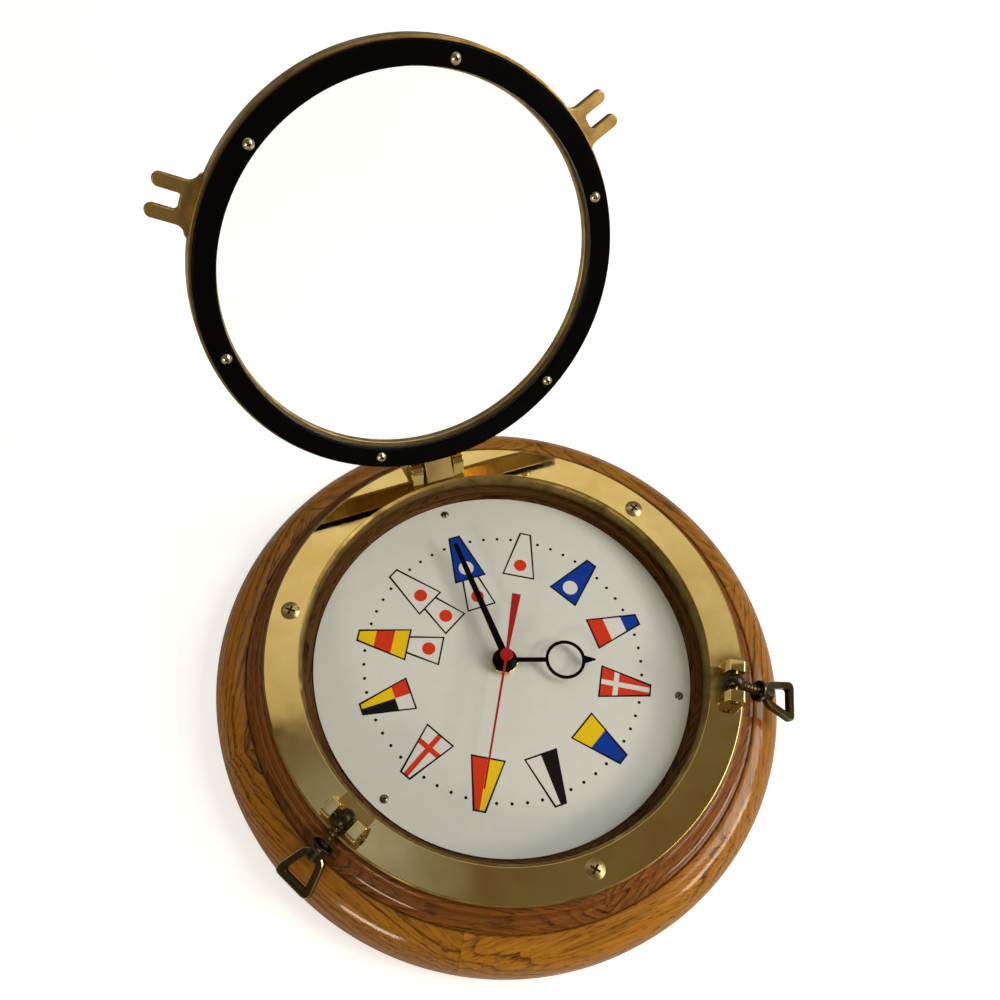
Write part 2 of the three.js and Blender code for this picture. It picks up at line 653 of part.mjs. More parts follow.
// Half outline of a forked ear at 12 o'clock, mirrored to the other side
function earShape(grow = 0) {
  const half = EAR_SLOT_W / 2 + EAR_PRONG_W + grow;
  const prongMid = (EAR_SLOT_W + EAR_PRONG_W) / 2;
  const tipR = EAR_PRONG_W / 2 + grow;
  const tipY = EAR_TIP_R - EAR_PRONG_W / 2;
  const cornerX = EAR_SLOT_W / 2 - grow - EAR_SLOT_CORNER;
  const cornerY = EAR_SLOT_END_R + EAR_SLOT_CORNER;
  const side = [
    [half + EAR_FLARE, EAR_ROOT_R - grow],
    ...arc(half + EAR_FLARE, FRAME_OUT_R + EAR_FLARE, EAR_FLARE, EAR_FLARE, 270, 180),
    ...arc(prongMid, tipY, tipR, tipR, 0, 180),
    ...arc(cornerX, cornerY, EAR_SLOT_CORNER, EAR_SLOT_CORNER, 0, -90),
  ];
  const mirrored = side.map(([x, y]) => [-x, y]).reverse();
  return polygon([...side, ...mirrored]);
}

function forkedEar(angle) {
  return turnedTo(plate(earShape(), EAR_T, EAR_LOW_H), angle);
}

function earMortise(angle) {
  return turnedTo(plate(earShape(SLIDE), EAR_T + 2 * SLIDE, EAR_LOW_H - SLIDE), angle);
}

const windowScrewAngles = [];
for (let i = 0; i < WINDOW_SCREW_COUNT; i += 1) {
  windowScrewAngles.push(WINDOW_SCREW_START + (i * 360) / WINDOW_SCREW_COUNT);
}

const windowScrewHoles = () =>
  windowScrewAngles.map((angle) =>
    screwHole(WINDOW_SCREW_R, -PROUD, LAND_H + WINDOW_SCREW_GRIP + SLIDE, WINDOW_SCREW_CIRCLE_R, angle),
  );

function windowFrame() {
  const rebateR = GLASS_R + SLIDE;
  const front = arc(
    FRAME_OUT_R - FRAME_FRONT_ROUND,
    FRAME_FRONT_H - FRAME_FRONT_ROUND,
    FRAME_FRONT_ROUND,
    FRAME_FRONT_ROUND,
    0,
    90,
  );
  const section = [
    [FRAME_OUT_R, LAND_H],
    ...front,
    [FRAME_LIP_R + FRAME_LIP_SLOPE, FRAME_FRONT_H],
    [FRAME_LIP_R, FRAME_FRONT_H - FRAME_LIP_SLOPE],
    [FRAME_LIP_R, LIP_H],
    [rebateR, LIP_H],
    [rebateR, LAND_H],
  ];
  const pinHole = rodAlongX(HINGE_PIN_R + SLIDE, 2 * TONGUE_W).translate(0, HINGE_R, HINGE_H);
  const mortises = Object.values(DOG_ANGLES).map(earMortise);
  const body = joined(turned(section, RING_FACETS), hingeTongue());
  return cut(body, pinHole, ...mortises, ...windowScrewHoles());
}

function windowGlass() {
  const [low, high] = [LAND_H, LAND_H + GLASS_T];
  return turned([[0, low], [GLASS_R, low], [GLASS_R, high], [0, high]], RING_FACETS);
}

function glassRetainer() {
  const inR = FRAME_LIP_R + RETAINER_REVEAL;
  const outR = FRAME_OUT_R - RETAINER_SHY;
  const top = RUN + RETAINER_T;
  const section = [
    [inR, top],
    [inR, RUN + RETAINER_EDGE],
    [inR + RETAINER_EDGE, RUN],
    [outR - RETAINER_EDGE, RUN],
    [outR, RUN + RETAINER_EDGE],
    [outR, top],
  ];
  return cut(solid(turned(section, RING_FACETS)), ...windowScrewHoles());
}

function windowScrew() {
  const under = RUN - SLIDE;
  const end = LAND_H + WINDOW_SCREW_GRIP;
  const section = [
    [0, under - WINDOW_SCREW_HEAD_H],
    ...arc(0, under, WINDOW_SCREW_HEAD_R, WINDOW_SCREW_HEAD_H, -DOME_SWEEP, 0),
    [WINDOW_SCREW_R, under],
    [WINDOW_SCREW_R, end - WINDOW_SCREW_R],
    [0, end],
  ];
  return turned(section, SCREW_FACETS);
}

// Dogs: an eye bolt from its pin outwards along Y, and the hand nut on it

function eyeBolt() {
  const bolt = rod(BOLT_R, 0, BOLT_L).rotateX(-Math.PI / 2);
  return cut(joined(rodAlongX(EYE_R, EYE_W, ROUND_FACETS), bolt), rodAlongX(DOG_PIN_R + SLIDE, 2 * EYE_W));
}

function handNut() {
  const collarEnd = NUT_START + NUT_COLLAR_L;
  const collar = turned(
    [
      [0, NUT_START],
      [NUT_RIM_R, NUT_START],
      [NUT_RIM_R, NUT_START + NUT_RIM_L],
      [NUT_NECK_R, NUT_START + 2 * NUT_RIM_L],
      [NUT_NECK_R, collarEnd],
      [0, collarEnd],
    ],
    ROUND_FACETS,
  ).rotateX(-Math.PI / 2);
  const nearY = collarEnd - LOOP_BAR;
  const farY = nearY + LOOP_L + LOOP_BAR;
  const outside = new THREE.Shape();
  outside.moveTo(-LOOP_NEAR_W / 2, nearY);
  outside.lineTo(LOOP_NEAR_W / 2, nearY);
  outside.lineTo(LOOP_FAR_W / 2, farY - LOOP_CORNER);
  outside.quadraticCurveTo(LOOP_FAR_W / 2, farY, LOOP_FAR_W / 2 - LOOP_CORNER, farY);
  outside.lineTo(-LOOP_FAR_W / 2 + LOOP_CORNER, farY);
  outside.quadraticCurveTo(-LOOP_FAR_W / 2, farY, -LOOP_FAR_W / 2, farY - LOOP_CORNER);
  const hole = polygon([
    [LOOP_NEAR_W / 2 - LOOP_BAR, collarEnd],
    [-LOOP_NEAR_W / 2 + LOOP_BAR, collarEnd],
    [-LOOP_FAR_W / 2 + LOOP_BAR, farY - LOOP_BAR],
    [LOOP_FAR_W / 2 - LOOP_BAR, farY - LOOP_BAR],
  ]);
  outside.holes.push(hole);
  const settings = {
    depth: LOOP_T - 2 * LOOP_EDGE,
    bevelSize: LOOP_EDGE,
    bevelOffset: -LOOP_EDGE,
    bevelThickness: LOOP_EDGE,
    bevelSegments: 1,
    curveSegments: CURVE_STEPS,
  };
  const loop = new THREE.ExtrudeGeometry(outside, settings).translate(0, 0, LOOP_EDGE - LOOP_T / 2);
  const thread = rod(BOLT_R + SLIDE, NUT_START - PROUD, collarEnd + PROUD).rotateX(-Math.PI / 2);
  return cut(joined(collar, loop), thread);
}

// Hands, drawn pointing to 12

function hourHand() {
  const z = DIAL_Z + HOUR_H - HAND_T / 2;
  const ring = rod(HOUR_RING_R, z, z + HAND_T, ROUND_FACETS).translate(0, HOUR_RING_AT, 0);
  const open = rod(HOUR_RING_R - HOUR_RING_W, z - PROUD, z + HAND_T + PROUD, ROUND_FACETS);
  const stemEnd = HOUR_RING_AT - HOUR_RING_R + HOUR_RING_W / 2;
  const stem = block(HOUR_STEM_W, stemEnd, z, z + HAND_T, 0, stemEnd / 2);
  const tipRoot = HOUR_RING_AT + HOUR_RING_R - HOUR_RING_W / 2;
  const spade = polygon([[-HOUR_TIP_W / 2, tipRoot], [HOUR_TIP_W / 2, tipRoot], [0, HOUR_TIP]]);
  const tip = plate(spade, HAND_T, z);
  const hub = rod(HOUR_HUB_R, z, z + HAND_T, ROUND_FACETS);
  const bore = rod(HOUR_PIPE_R + SLIDE, z - PROUD, z + HAND_T + PROUD);
  return cut(joined(hub, stem, ring, tip), open.translate(0, HOUR_RING_AT, 0), bore);
}

function minuteHand() {
  const z = DIAL_Z + MINUTE_H - HAND_T / 2;
  const [root, end] = [MINUTE_ROOT_W / 2, MINUTE_END_W / 2];
  const blade = plate(polygon([[-root, 0], [root, 0], [end, MINUTE_L], [-end, MINUTE_L]]), HAND_T, z);
  const hub = rod(MINUTE_HUB_R, z, z + HAND_T, ROUND_FACETS);
  const boss = rod(MINUTE_BOSS_R, z - MINUTE_BOSS_H, z + HAND_T / 2, ROUND_FACETS);
  const bore = rod(MINUTE_PIPE_R + SLIDE, z - MINUTE_BOSS_H - PROUD, z + HAND_T + PROUD);
  return cut(joined(hub, boss, blade), bore);
}

function secondHand() {
  const z = DIAL_Z + SECOND_H - HAND_T / 2;
  const [neck, tip, tail] = [SECOND_NECK_W / 2, SECOND_TIP_W / 2, SECOND_TAIL_W / 2];
  const outline = polygon([
    [-tail, -SECOND_TAIL_L],
    [tail, -SECOND_TAIL_L],
    [neck, 0],
    [tip, SECOND_L],
    [-tip, SECOND_L],
    [-neck, 0],
  ]);
  const blade = plate(outline, HAND_T, z);
  const hub = rod(SECOND_HUB_R, z, z + HAND_T, ROUND_FACETS);
  const boss = rod(SECOND_BOSS_R, z - SECOND_BOSS_H, z + HAND_T / 2);
  const bore = rod(SECOND_ARBOR_R + SLIDE, z - SECOND_BOSS_H - PROUD, z + HAND_T / 2, SCREW_FACETS);
  return cut(joined(hub, boss, blade), bore);
}

// Motion work: teeth with a narrow tip and enough play to turn freely

function gear(teeth, z0, z1, halfStep = false) {
  const pitch = (2 * Math.PI) / teeth;
  const pitchR = (GEAR_MODULE * teeth) / 2;
  const tipR = pitchR + TOOTH_TIP * GEAR_MODULE;
  const rootR = pitchR - TOOTH_ROOT * GEAR_MODULE;
  const tooth = [
    [rootR, -TOOTH_ROOT_HALF],
    [tipR, -TOOTH_TIP_HALF],
    [tipR, TOOTH_TIP_HALF],
    [rootR, TOOTH_ROOT_HALF],
  ];
  const outline = [];
  for (let i = 0; i < teeth; i += 1) {
    const middle = Math.PI / 2 + (halfStep ? i + 0.5 : i) * pitch;
    for (const [r, share] of tooth) {
      outline.push([r * Math.cos(middle + share * pitch), r * Math.sin(middle + share * pitch)]);
    }
  }
  return plate(polygon(outline), z1 - z0, z0);
}

function hourWheel() {
  const top = DIAL_Z + HOUR_H + HAND_T / 2 + PIPE_STAND;
  const pipe = rod(HOUR_PIPE_R, HOUR_GEAR_Z - SLIDE, top);
  const bore = rod(HOUR_PIPE_IN_R, HOUR_GEAR_Z - PROUD, top + PROUD);
  return cut(joined(gear(HOUR_TEETH, HOUR_GEAR_Z, HOUR_GEAR_Z + GEAR_T), pipe), bore);
}

function minuteArbor() {
  const top = DIAL_Z + MINUTE_H + HAND_T / 2 + PIPE_STAND;
  const pipe = rod(MINUTE_PIPE_R, CANNON_Z - SLIDE, top);
  const bore = rod(MINUTE_PIPE_IN_R, CANNON_Z - PROUD, top + PROUD, SCREW_FACETS);
  return cut(joined(gear(CANNON_TEETH, CANNON_Z, CANNON_Z + GEAR_T), pipe), bore);
}

const motorBackZ = MOVEMENT_BACK_Z + COVER_T + 2 * SLIDE;
const motorFrontZ = motorBackZ + MOTOR_T;

function secondArbor() {
  const foot = motorFrontZ - MOTOR_SOCKET_DEPTH + SLIDE;
  return rod(SECOND_ARBOR_R, foot, DIAL_Z + SECOND_H - SLIDE, SCREW_FACETS);
}

function motionWheel() {
  const wheel = gear(MOTION_TEETH, CANNON_Z, CANNON_Z + GEAR_T, true);
  const pinion = gear(MOTION_PINION_TEETH, CANNON_Z + GEAR_T / 2, HOUR_GEAR_Z + GEAR_T, true);
  return cut(joined(wheel, pinion), rod(STUD_R + SLIDE, CANNON_Z - PROUD, CAVITY_TOP_Z, SCREW_FACETS));
}

function setKnob() {
  const knobBack = MOVEMENT_BACK_Z - SLIDE - KNOB_T;
  const arbor = rod(KNOB_ARBOR_R, knobBack, CANNON_Z + GEAR_T / 2, SCREW_FACETS);
  const knob = rod(KNOB_R, knobBack, knobBack + KNOB_T, ROUND_FACETS);
  return joined(knob, arbor, gear(CANNON_TEETH, CANNON_Z, CANNON_Z + GEAR_T));
}

// Movement housing, drive and supply

const batteryY = MOVEMENT_IN_W / 2 - SLIDE - BATTERY_R;
const batteryZ = CAVITY_TOP_Z - SLIDE - BATTERY_R;

function movementCase() {
  const shell = block(MOVEMENT_W, MOVEMENT_W, CASE_REAR_Z, MOVEMENT_FRONT_Z);
  const tube = rod(TUBE_R, CAVITY_TOP_Z, DIAL_Z + TUBE_STAND, ROUND_FACETS);
  const stud = rod(STUD_R, CANNON_Z, MOVEMENT_FRONT_Z - SLIDE, SCREW_FACETS).translate(0, -GEAR_CENTRES, 0);
  const hollow = block(MOVEMENT_IN_W, MOVEMENT_IN_W, CASE_REAR_Z - PROUD, CAVITY_TOP_Z);
  const bore = rod(TUBE_IN_R, CAVITY_TOP_Z - PROUD, DIAL_Z + TUBE_STAND + PROUD);
  return cut(joined(shell, tube), hollow, bore).add(solid(stud));
}

function movementCover() {
  const sheet = block(MOVEMENT_W, MOVEMENT_W, MOVEMENT_BACK_Z, MOVEMENT_BACK_Z + COVER_T);
  const reach = [MOVEMENT_BACK_Z - PROUD, MOVEMENT_BACK_Z + COVER_T + PROUD];
  const bay = block(MOVEMENT_IN_W, 2 * BATTERY_R + SLIDE, ...reach, 0, batteryY);
  const knobHole = rod(KNOB_ARBOR_R + SLIDE, ...reach).translate(0, -2 * GEAR_CENTRES, 0);
  return cut(solid(sheet), bay, knobHole);
}

function battery() {
  const half = BATTERY_L / 2;
  const section = [
    [0, -half],
    [BATTERY_R, -half],
    [BATTERY_R, half - BATTERY_NUB_L],
    [BATTERY_NUB_R, half - BATTERY_NUB_L],
    [BATTERY_NUB_R, half],
    [0, half],
  ];
  return turned(section, ROUND_FACETS).rotateY(Math.PI / 2).translate(0, batteryY, batteryZ);
}

function batteryContact(side) {
  const x = side * (MOVEMENT_IN_W / 2 - SLIDE - CONTACT_T / 2);
  return block(CONTACT_T, CONTACT_W, batteryZ - CONTACT_W / 2, batteryZ + CONTACT_W / 2, x, batteryY);
}

const motorY = batteryY - BATTERY_R - SLIDE - MOTOR_H / 2;

function stepMotor() {
  const body = block(MOTOR_W, MOTOR_H, motorBackZ, motorFrontZ, 0, motorY);
  const coil = rodAlongX(COIL_R, MOTOR_W - 2 * MOVEMENT_WALL, ROUND_FACETS);
  const socketFoot = motorFrontZ - MOTOR_SOCKET_DEPTH;
  const socket = rod(SECOND_ARBOR_R + SLIDE, socketFoot, motorFrontZ + PROUD, SCREW_FACETS);
  return cut(joined(body, coil.translate(0, motorY - MOTOR_H / 2, motorBackZ + COIL_R)), socket);
}

function circuitBoard() {
  const x = -(MOTOR_W + BOARD_W) / 2 - SLIDE;
  const y = motorY + (MOTOR_H - BOARD_H) / 2;
  return block(BOARD_W, BOARD_H, motorBackZ, motorBackZ + BOARD_T, x, y);
}

function handWasher() {
  const inner = TUBE_R + SLIDE;
  const top = DIAL_Z + WASHER_T;
  return turned([[inner, DIAL_Z], [WASHER_R, DIAL_Z], [WASHER_R, top], [inner, top]], ROUND_FACETS);
}

function fixingNut() {
  const z = DIAL_Z + WASHER_T;
  const hexagon = rod(NUT_ACROSS_CORNERS / 2, z, z + NUT_T, HEX_SIDES);
  return cut(solid(hexagon), rod(TUBE_R + SLIDE, z - PROUD, z + NUT_T + PROUD, ROUND_FACETS));
}

// Assembly

const clock = new THREE.Group();

named("oak_back_ring", oakBackRing(), oak(), clock);
named("oak_front_ring", oakFrontRing(), oak(), clock);
named("back_panel", backPanel(), finish(0x8c6a3f, 0.7), clock);
named("hanger_strip", hangerStrip(), steel(), clock);
for (const [i, side] of [-1, 1].entries()) {
  named(`hanger_screw_${i + 1}`, hangerScrew().translate(side * hangerScrewX, HANGER_R, 0), steel(), clock);
}

named("flange_ring", flangeRing(), polishedBrass(), clock);
for (const [i, angle] of FLANGE_SCREW_ANGLES.entries()) {
  const place = atClock(FLANGE_SCREW_CIRCLE_R, angle);
  named(`flange_screw_${i + 1}`, flangeScrew().translate(...place, 0), polishedBrass(), clock);
}

named("dial_plate", dialPlate(), finish(0xdedbd0, 0.4), clock);
for (const [i, angle] of DIAL_SCREW_ANGLES.entries()) {
  const place = atClock(DIAL_SCREW_CIRCLE_R, angle);
  named(`dial_screw_${i + 1}`, dialScrew().translate(...place, 0), nickel(), clock);
}

named("movement_case", movementCase(), blackPlastic(), clock);
named("movement_cover", movementCover(), blackPlastic(), clock);
named("battery", battery(), finish(0x2f5d3a, 0.35, 0.3), clock);
named("battery_contact_plus", batteryContact(1), nickel(), clock);
named("battery_contact_minus", batteryContact(-1), nickel(), clock);
named("step_motor", stepMotor(), whitePlastic(), clock);
named("circuit_board", circuitBoard(), finish(0x1f5b3a, 0.5), clock);
named("hand_washer", handWasher(), polishedBrass(), clock);
named("hand_fixing_nut", fixingNut(), polishedBrass(), clock);

named("hour_wheel", hourWheel(), whitePlastic(), clock);
named("minute_arbor", minuteArbor(), whitePlastic(), clock);
named("second_arbor", secondArbor(), steel(), clock);
const motionStud = new THREE.Group();
motionStud.position.y = -GEAR_CENTRES;
clock.add(motionStud);
named("motion_wheel", motionWheel(), whitePlastic(), motionStud);
const knobArbor = new THREE.Group();
knobArbor.position.y = -2 * GEAR_CENTRES;
clock.add(knobArbor);
named("set_knob", setKnob(), blackPlastic(), knobArbor);

const hands = {
  hour_hand: [hourHand, HOUR_ANGLE, blackLacquer],
  minute_hand: [minuteHand, MINUTE_ANGLE, blackLacquer],
  second_hand: [secondHand, SECOND_ANGLE, () => finish(0xb3261e, 0.35)],
};
for (const [name, [shape, angle, material]] of Object.entries(hands)) {
  const pointed = new THREE.Group();
  pointed.rotation.z = -radians(angle);
  clock.add(pointed);
  named(name, shape(), material(), pointed);
}

const hinge = new THREE.Group();
hinge.position.set(0, HINGE_R, FACE_Z + HINGE_H);
clock.add(hinge);
named("hinge_pin", rodAlongX(HINGE_PIN_R, hingePinL), castBrass(), hinge);

const swing = new THREE.Group();
swing.rotation.x = -radians(WINDOW_OPEN);
hinge.add(swing);
const window = new THREE.Group();
window.position.set(0, -HINGE_R, -HINGE_H);
swing.add(window);
named("window_frame", windowFrame(), castBrass(), window);
named("window_glass", windowGlass(), finish(0xf4f8f7, 0.05, 0, { transparent: true, opacity: 0.2 }), window);
named("glass_retainer", glassRetainer(), blackLacquer(), window);
for (const [i, angle] of windowScrewAngles.entries()) {
  const place = atClock(WINDOW_SCREW_CIRCLE_R, angle);
  named(`window_screw_${i + 1}`, windowScrew().translate(...place, 0), nickel(), window);
}

for (const [side, angle] of Object.entries(DOG_ANGLES)) {
  named(`forked_ear_${side}`, forkedEar(angle), castBrass(), window);
  const station = new THREE.Group();
  station.rotation.z = -radians(angle);
  clock.add(station);
  const pivot = new THREE.Group();
  pivot.position.set(0, DOG_PIN_CIRCLE_R, FACE_Z + DOG_PIN_H);
  station.add(pivot);
  named(`dog_pin_${side}`, rodAlongX(DOG_PIN_R, dogPinL), castBrass(), pivot);
  const dog = new THREE.Group();
  dog.rotation.x = -radians(DOG_DROOP);
  pivot.add(dog);
  named(`eye_bolt_${side}`, eyeBolt(), antiqueBrass(), dog);
  named(`hand_nut_${side}`, handNut(), antiqueBrass(), dog);
}

export default clock;
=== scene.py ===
# %% [markdown]
# # A porthole clock
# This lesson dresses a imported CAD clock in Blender. The real object is a quartz clock in a turned oak case. A
# brass porthole window is hinged at 12 o'clock and two drop bolts hold it shut. The CAD model already knows where
# every piece sits, so each visual piece is built in that same frame and takes the place of its CAD node.

# %% Load the frame
import math
import random

import bmesh
import bpy
from mathutils import Matrix, Vector


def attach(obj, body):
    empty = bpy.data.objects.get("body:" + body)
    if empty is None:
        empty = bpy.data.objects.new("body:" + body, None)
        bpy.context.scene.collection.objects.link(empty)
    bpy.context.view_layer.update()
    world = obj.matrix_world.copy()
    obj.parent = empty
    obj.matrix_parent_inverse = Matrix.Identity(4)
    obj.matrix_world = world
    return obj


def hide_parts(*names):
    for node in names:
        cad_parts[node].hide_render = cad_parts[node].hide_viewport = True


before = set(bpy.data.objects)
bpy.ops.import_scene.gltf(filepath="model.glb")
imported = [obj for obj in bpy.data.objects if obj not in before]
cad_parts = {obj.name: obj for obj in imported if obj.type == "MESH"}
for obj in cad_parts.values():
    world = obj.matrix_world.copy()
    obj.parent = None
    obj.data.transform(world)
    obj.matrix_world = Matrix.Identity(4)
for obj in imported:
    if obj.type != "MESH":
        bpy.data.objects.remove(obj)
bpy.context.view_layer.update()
bpy.context.scene.view_settings.view_transform = "Standard"
MM = 0.001


def linked(name, data):
    made = bpy.data.objects.new(name, data)
    bpy.context.scene.collection.objects.link(made)
    return made


# %% [markdown]
# ## The camera
# The photograph was taken from above and a little to the left of 6 o'clock. The place and the turn of the camera
# come from a fit to what can be found again on the clock: the minute dots, the screws and the edge of the oak. A
# look-at helper would lose the small roll, so the camera's own axes are written into its matrix.

# %% Camera
camera = linked("camera", bpy.data.cameras.new("camera"))
camera.data.sensor_width = 36
camera.data.lens = 36.374
camera.data.shift_x, camera.data.shift_y = 0.0201, 0.0141
forward = Vector((0.2377, 0.43063, -0.87066))
up = Vector((0.26749, 0.83268, 0.48487))
turn = Matrix((forward.cross(up), up, -forward)).transposed().to_4x4()
camera.matrix_world = Matrix.Translation(Vector((-117.15, -159.13, 525.12)) * MM) @ turn
bpy.context.scene.camera = camera
print("camera at", [round(v, 3) for v in camera.matrix_world.translation])

# %% [markdown]
# ## Colours and nodes
# Colours are written as the eye reads them, in sRGB hex, and one function makes them linear for the shader. One
# small function adds a node, sets it up and links it, so a material reads as a list of what each node is for. A
# node given as an input stands for its first live output. A Map Range gets its two ranges as pairs, and a colour
# Mix has its share at input 0 and its two colours at 6 and 7.

# %% Colours and nodes
MATH, MIX, NOISE, RANGE = "ShaderNodeMath", "ShaderNodeMix", "ShaderNodeTexNoise", "ShaderNodeMapRange"
SOFT = {"interpolation_type": "SMOOTHSTEP"}


def linear(code):
    parts = [int(code[i:i + 2], 16) / 255 for i in (1, 3, 5)]
    return tuple(c / 12.92 if c <= 0.04045 else ((c + 0.055) / 1.055) ** 2.4 for c in parts) + (1.0,)


def wire(tree, node, inputs):
    for key, value in inputs.items():
        if isinstance(value, bpy.types.Node):
            value = next(out for out in value.outputs if out.enabled)
        if key in ("From", "To"):
            wire(tree, node, {key + " Min": value[0], key + " Max": value[1]})
        elif isinstance(value, bpy.types.NodeSocket):
            tree.links.new(value, node.inputs[key])
        else:
            node.inputs[key].default_value = value


def add(tree, kind, inputs=None, **settings):
    made = tree.nodes.new(kind)
    for key, value in settings.items():
        setattr(made, key, value)
    wire(tree, made, inputs or {})
    return made


def finish(name):
    made = bpy.data.materials.new(name)
    made.use_nodes = True
    return made, made.node_tree, made.node_tree.nodes["Principled BSDF"]


print("honey oak in linear light:", [round(v, 3) for v in linear("#A66D1A")[:3]])

# %% [markdown]
# ## Floor and light
# The studio is a sheet of pale paper, a dim brown room with one bright wall behind the hinge, and three lamps, the
# two low ones a little warm. The paper shows white by a glow that only the camera and the glass can see, so it
# lights nothing and keeps the shadow. The glow gains strength away from the clock, where the lamps lose theirs.
# Polished brass shows the room more than itself, so the room is drawn with care, as a rule on the direction: a
# bright wall that starts at a sharp edge and gains light upwards, a patch of ceiling with cool daylight on it, also
# with one sharp edge, low panes on the right, and dim brown everywhere else. The camera itself sees the room white.

# %% Paper
REACH = 20
floor_mesh = bpy.data.meshes.new("floor")
corners = [(-REACH, -REACH, 0), (REACH, -REACH, 0), (REACH, REACH, 0), (-REACH, REACH, 0)]
floor_mesh.from_pydata(corners, [], [(0, 1, 2, 3)])
floor = linked("floor", floor_mesh)
paper, tree, surface = finish("pale studio paper")


def seen(tree, strength):
    """The given strength for rays from the camera, straight or through glass, and none for light."""
    ray = add(tree, "ShaderNodeLightPath").outputs
    both = add(tree, MATH, {0: ray["Is Camera Ray"], 1: ray["Is Transmission Ray"]}, operation="ADD", use_clamp=True)
    return add(tree, MATH, {0: both, 1: strength}, operation="MULTIPLY")


spot = add(tree, "ShaderNodeTexCoord").outputs["Object"]
away = add(tree, "ShaderNodeVectorMath", {0: spot}, operation="LENGTH")
glow = add(tree, RANGE, {"Value": away, "From": (0.4, 2.0), "To": (0.62, 0.95)})
wire(tree, surface, {"Base Color": linear("#D8D8D6"), "Roughness": 0.9, "Specular IOR Level": 0.1,
                     "Emission Color": linear("#FFFFFF"), "Emission Strength": seen(tree, glow)})
floor_mesh.materials.append(paper)
print("paper:", paper.name)

# %% Room and lamps
world = bpy.data.worlds.new("brown room")
bpy.context.scene.world = world
world.use_nodes = True
tree = world.node_tree
look = add(tree, "ShaderNodeTexCoord").outputs["Generated"]
x, y, z = add(tree, "ShaderNodeSeparateXYZ", {0: look}).outputs
lean = add(tree, MATH, {0: x, 1: 0.225, 2: y}, operation="MULTIPLY_ADD")
behind = add(tree, RANGE, {"Value": lean, "From": (0.305, 0.32)}, **SOFT)
rising = add(tree, RANGE, {"Value": lean, "From": (0.3, 0.5), "To": (0.52, 0.92)})
high = add(tree, RANGE, {"Value": z, "From": (0.6, 0.75)}, **SOFT)
wall = add(tree, MATH, {0: behind, 1: high}, operation="MULTIPLY")
wall = add(tree, MATH, {0: wall, 1: rising}, operation="MULTIPLY")
away = add(tree, "ShaderNodeVectorMath", {0: look, 1: (0.045, 0.195, 0.98)}, operation="DISTANCE")
cool = add(tree, RANGE, {"Value": away, "From": (0.12, 0.0), "To": (0, 0.75)})
edge = add(tree, RANGE, {"Value": x, "From": (0.132, 0.122)}, **SOFT)
cool = add(tree, MATH, {0: cool, 1: edge}, operation="MULTIPLY")
room = add(tree, MIX, {0: wall, 6: linear("#756A57"), 7: linear("#FFFAF0")}, data_type="RGBA")
room = add(tree, MIX, {0: cool, 6: room, 7: linear("#BDCBF0")}, data_type="RGBA")
level = add(tree, RANGE, {"Value": z, "From": (0.3, 0.1)}, **SOFT)
pane = add(tree, RANGE, {"Value": x, "From": (0.6, 0.85), "To": (0, 0.25)}, **SOFT)
panes = add(tree, MATH, {0: level, 1: pane}, operation="MULTIPLY")
white = add(tree, MATH, {0: panes, 1: seen(tree, 1.0)}, operation="MAXIMUM")
whole = add(tree, MIX, {0: white, 6: room, 7: linear("#FFFFFF")}, data_type="RGBA")
wire(tree, tree.nodes["Background"], {"Color": whole})

AIM = Vector((0, 0, 0.03))
for name, spot, width, height, power, tone in (
        ("softbox", (1.03, -0.28, 1.19), 0.8, 0.8, 11.5, "#FFFFFF"),
        ("low window", (0.98, -0.83, 0.77), 0.65, 0.26, 9.0, "#FFF2DE"),
        ("strip lamp", (-1.07, -0.87, 0.59), 0.42, 0.22, 6.5, "#FFEFD6")):
    lamp = linked(name, bpy.data.lights.new(name, "AREA"))
    lamp.data.shape, lamp.data.size, lamp.data.size_y, lamp.data.energy = "RECTANGLE", width, height, power
    lamp.data.color = linear(tone)[:3]
    back = (Vector(spot) - AIM).to_track_quat("Z", "Y").to_matrix().to_4x4()
    lamp.matrix_world = Matrix.Translation(spot) @ back
    print(name, power, "W at", spot)

# %% [markdown]
# ## Shapes from a lathe and a saw
# Nearly every piece of this clock was turned on a lathe or cut from a plate. `turned` spins a section of radius and
# height about Z; `sawn` cuts an outline from a plate and eases its edges. Real corners are never sharp, so
# `softened` rounds a section first. Shapes are lists of points in millimetres until a piece is finished.

# %% Turned and sawn shapes
AXIS = 1e-4
SLIGHT_BEND = math.radians(20)


def arc(centre, radius, start, end, steps, rise=None):
    """Points on an arc in degrees, of a circle or, with a rise, of an ellipse."""
    turns = [math.radians(start + (end - start) * i / steps) for i in range(steps + 1)]
    rise = radius if rise is None else rise
    return [(centre[0] + radius * math.cos(t), centre[1] + rise * math.sin(t)) for t in turns]


def softened(points, radius, steps=4):
    made, count = [], len(points)
    for i in range(count):
        before, here, after = (Vector(points[j % count]) for j in (i - 1, i, i + 1))
        back, ahead = before - here, after - here
        if back.length < 1e-6 or ahead.length < 1e-6:
            continue
        if math.pi - back.angle(ahead) < SLIGHT_BEND:
            made.append(tuple(here))
            continue
        cut = min(radius, 0.45 * back.length, 0.45 * ahead.length)
        start, end = here + back.normalized() * cut, here + ahead.normalized() * cut
        for k in range(steps + 1):
            t = k / steps
            made.append(tuple(start * (1 - t) ** 2 + here * 2 * t * (1 - t) + end * t * t))
    return made


def quads(rows, count, spans):
    """Faces between rows of points; each row closes on itself, and the last row meets the first if spans allow."""
    return [(k * count + i, k * count + (i + 1) % count, (k + 1) % rows * count + (i + 1) % count,
             (k + 1) % rows * count + i) for k in range(spans) for i in range(count)]


def turned(section, steps):
    points = [(r * math.sin(2 * math.pi * k / steps), r * math.cos(2 * math.pi * k / steps), z)
              for k in range(steps) for r, z in section]
    return points, quads(steps, len(section), steps)


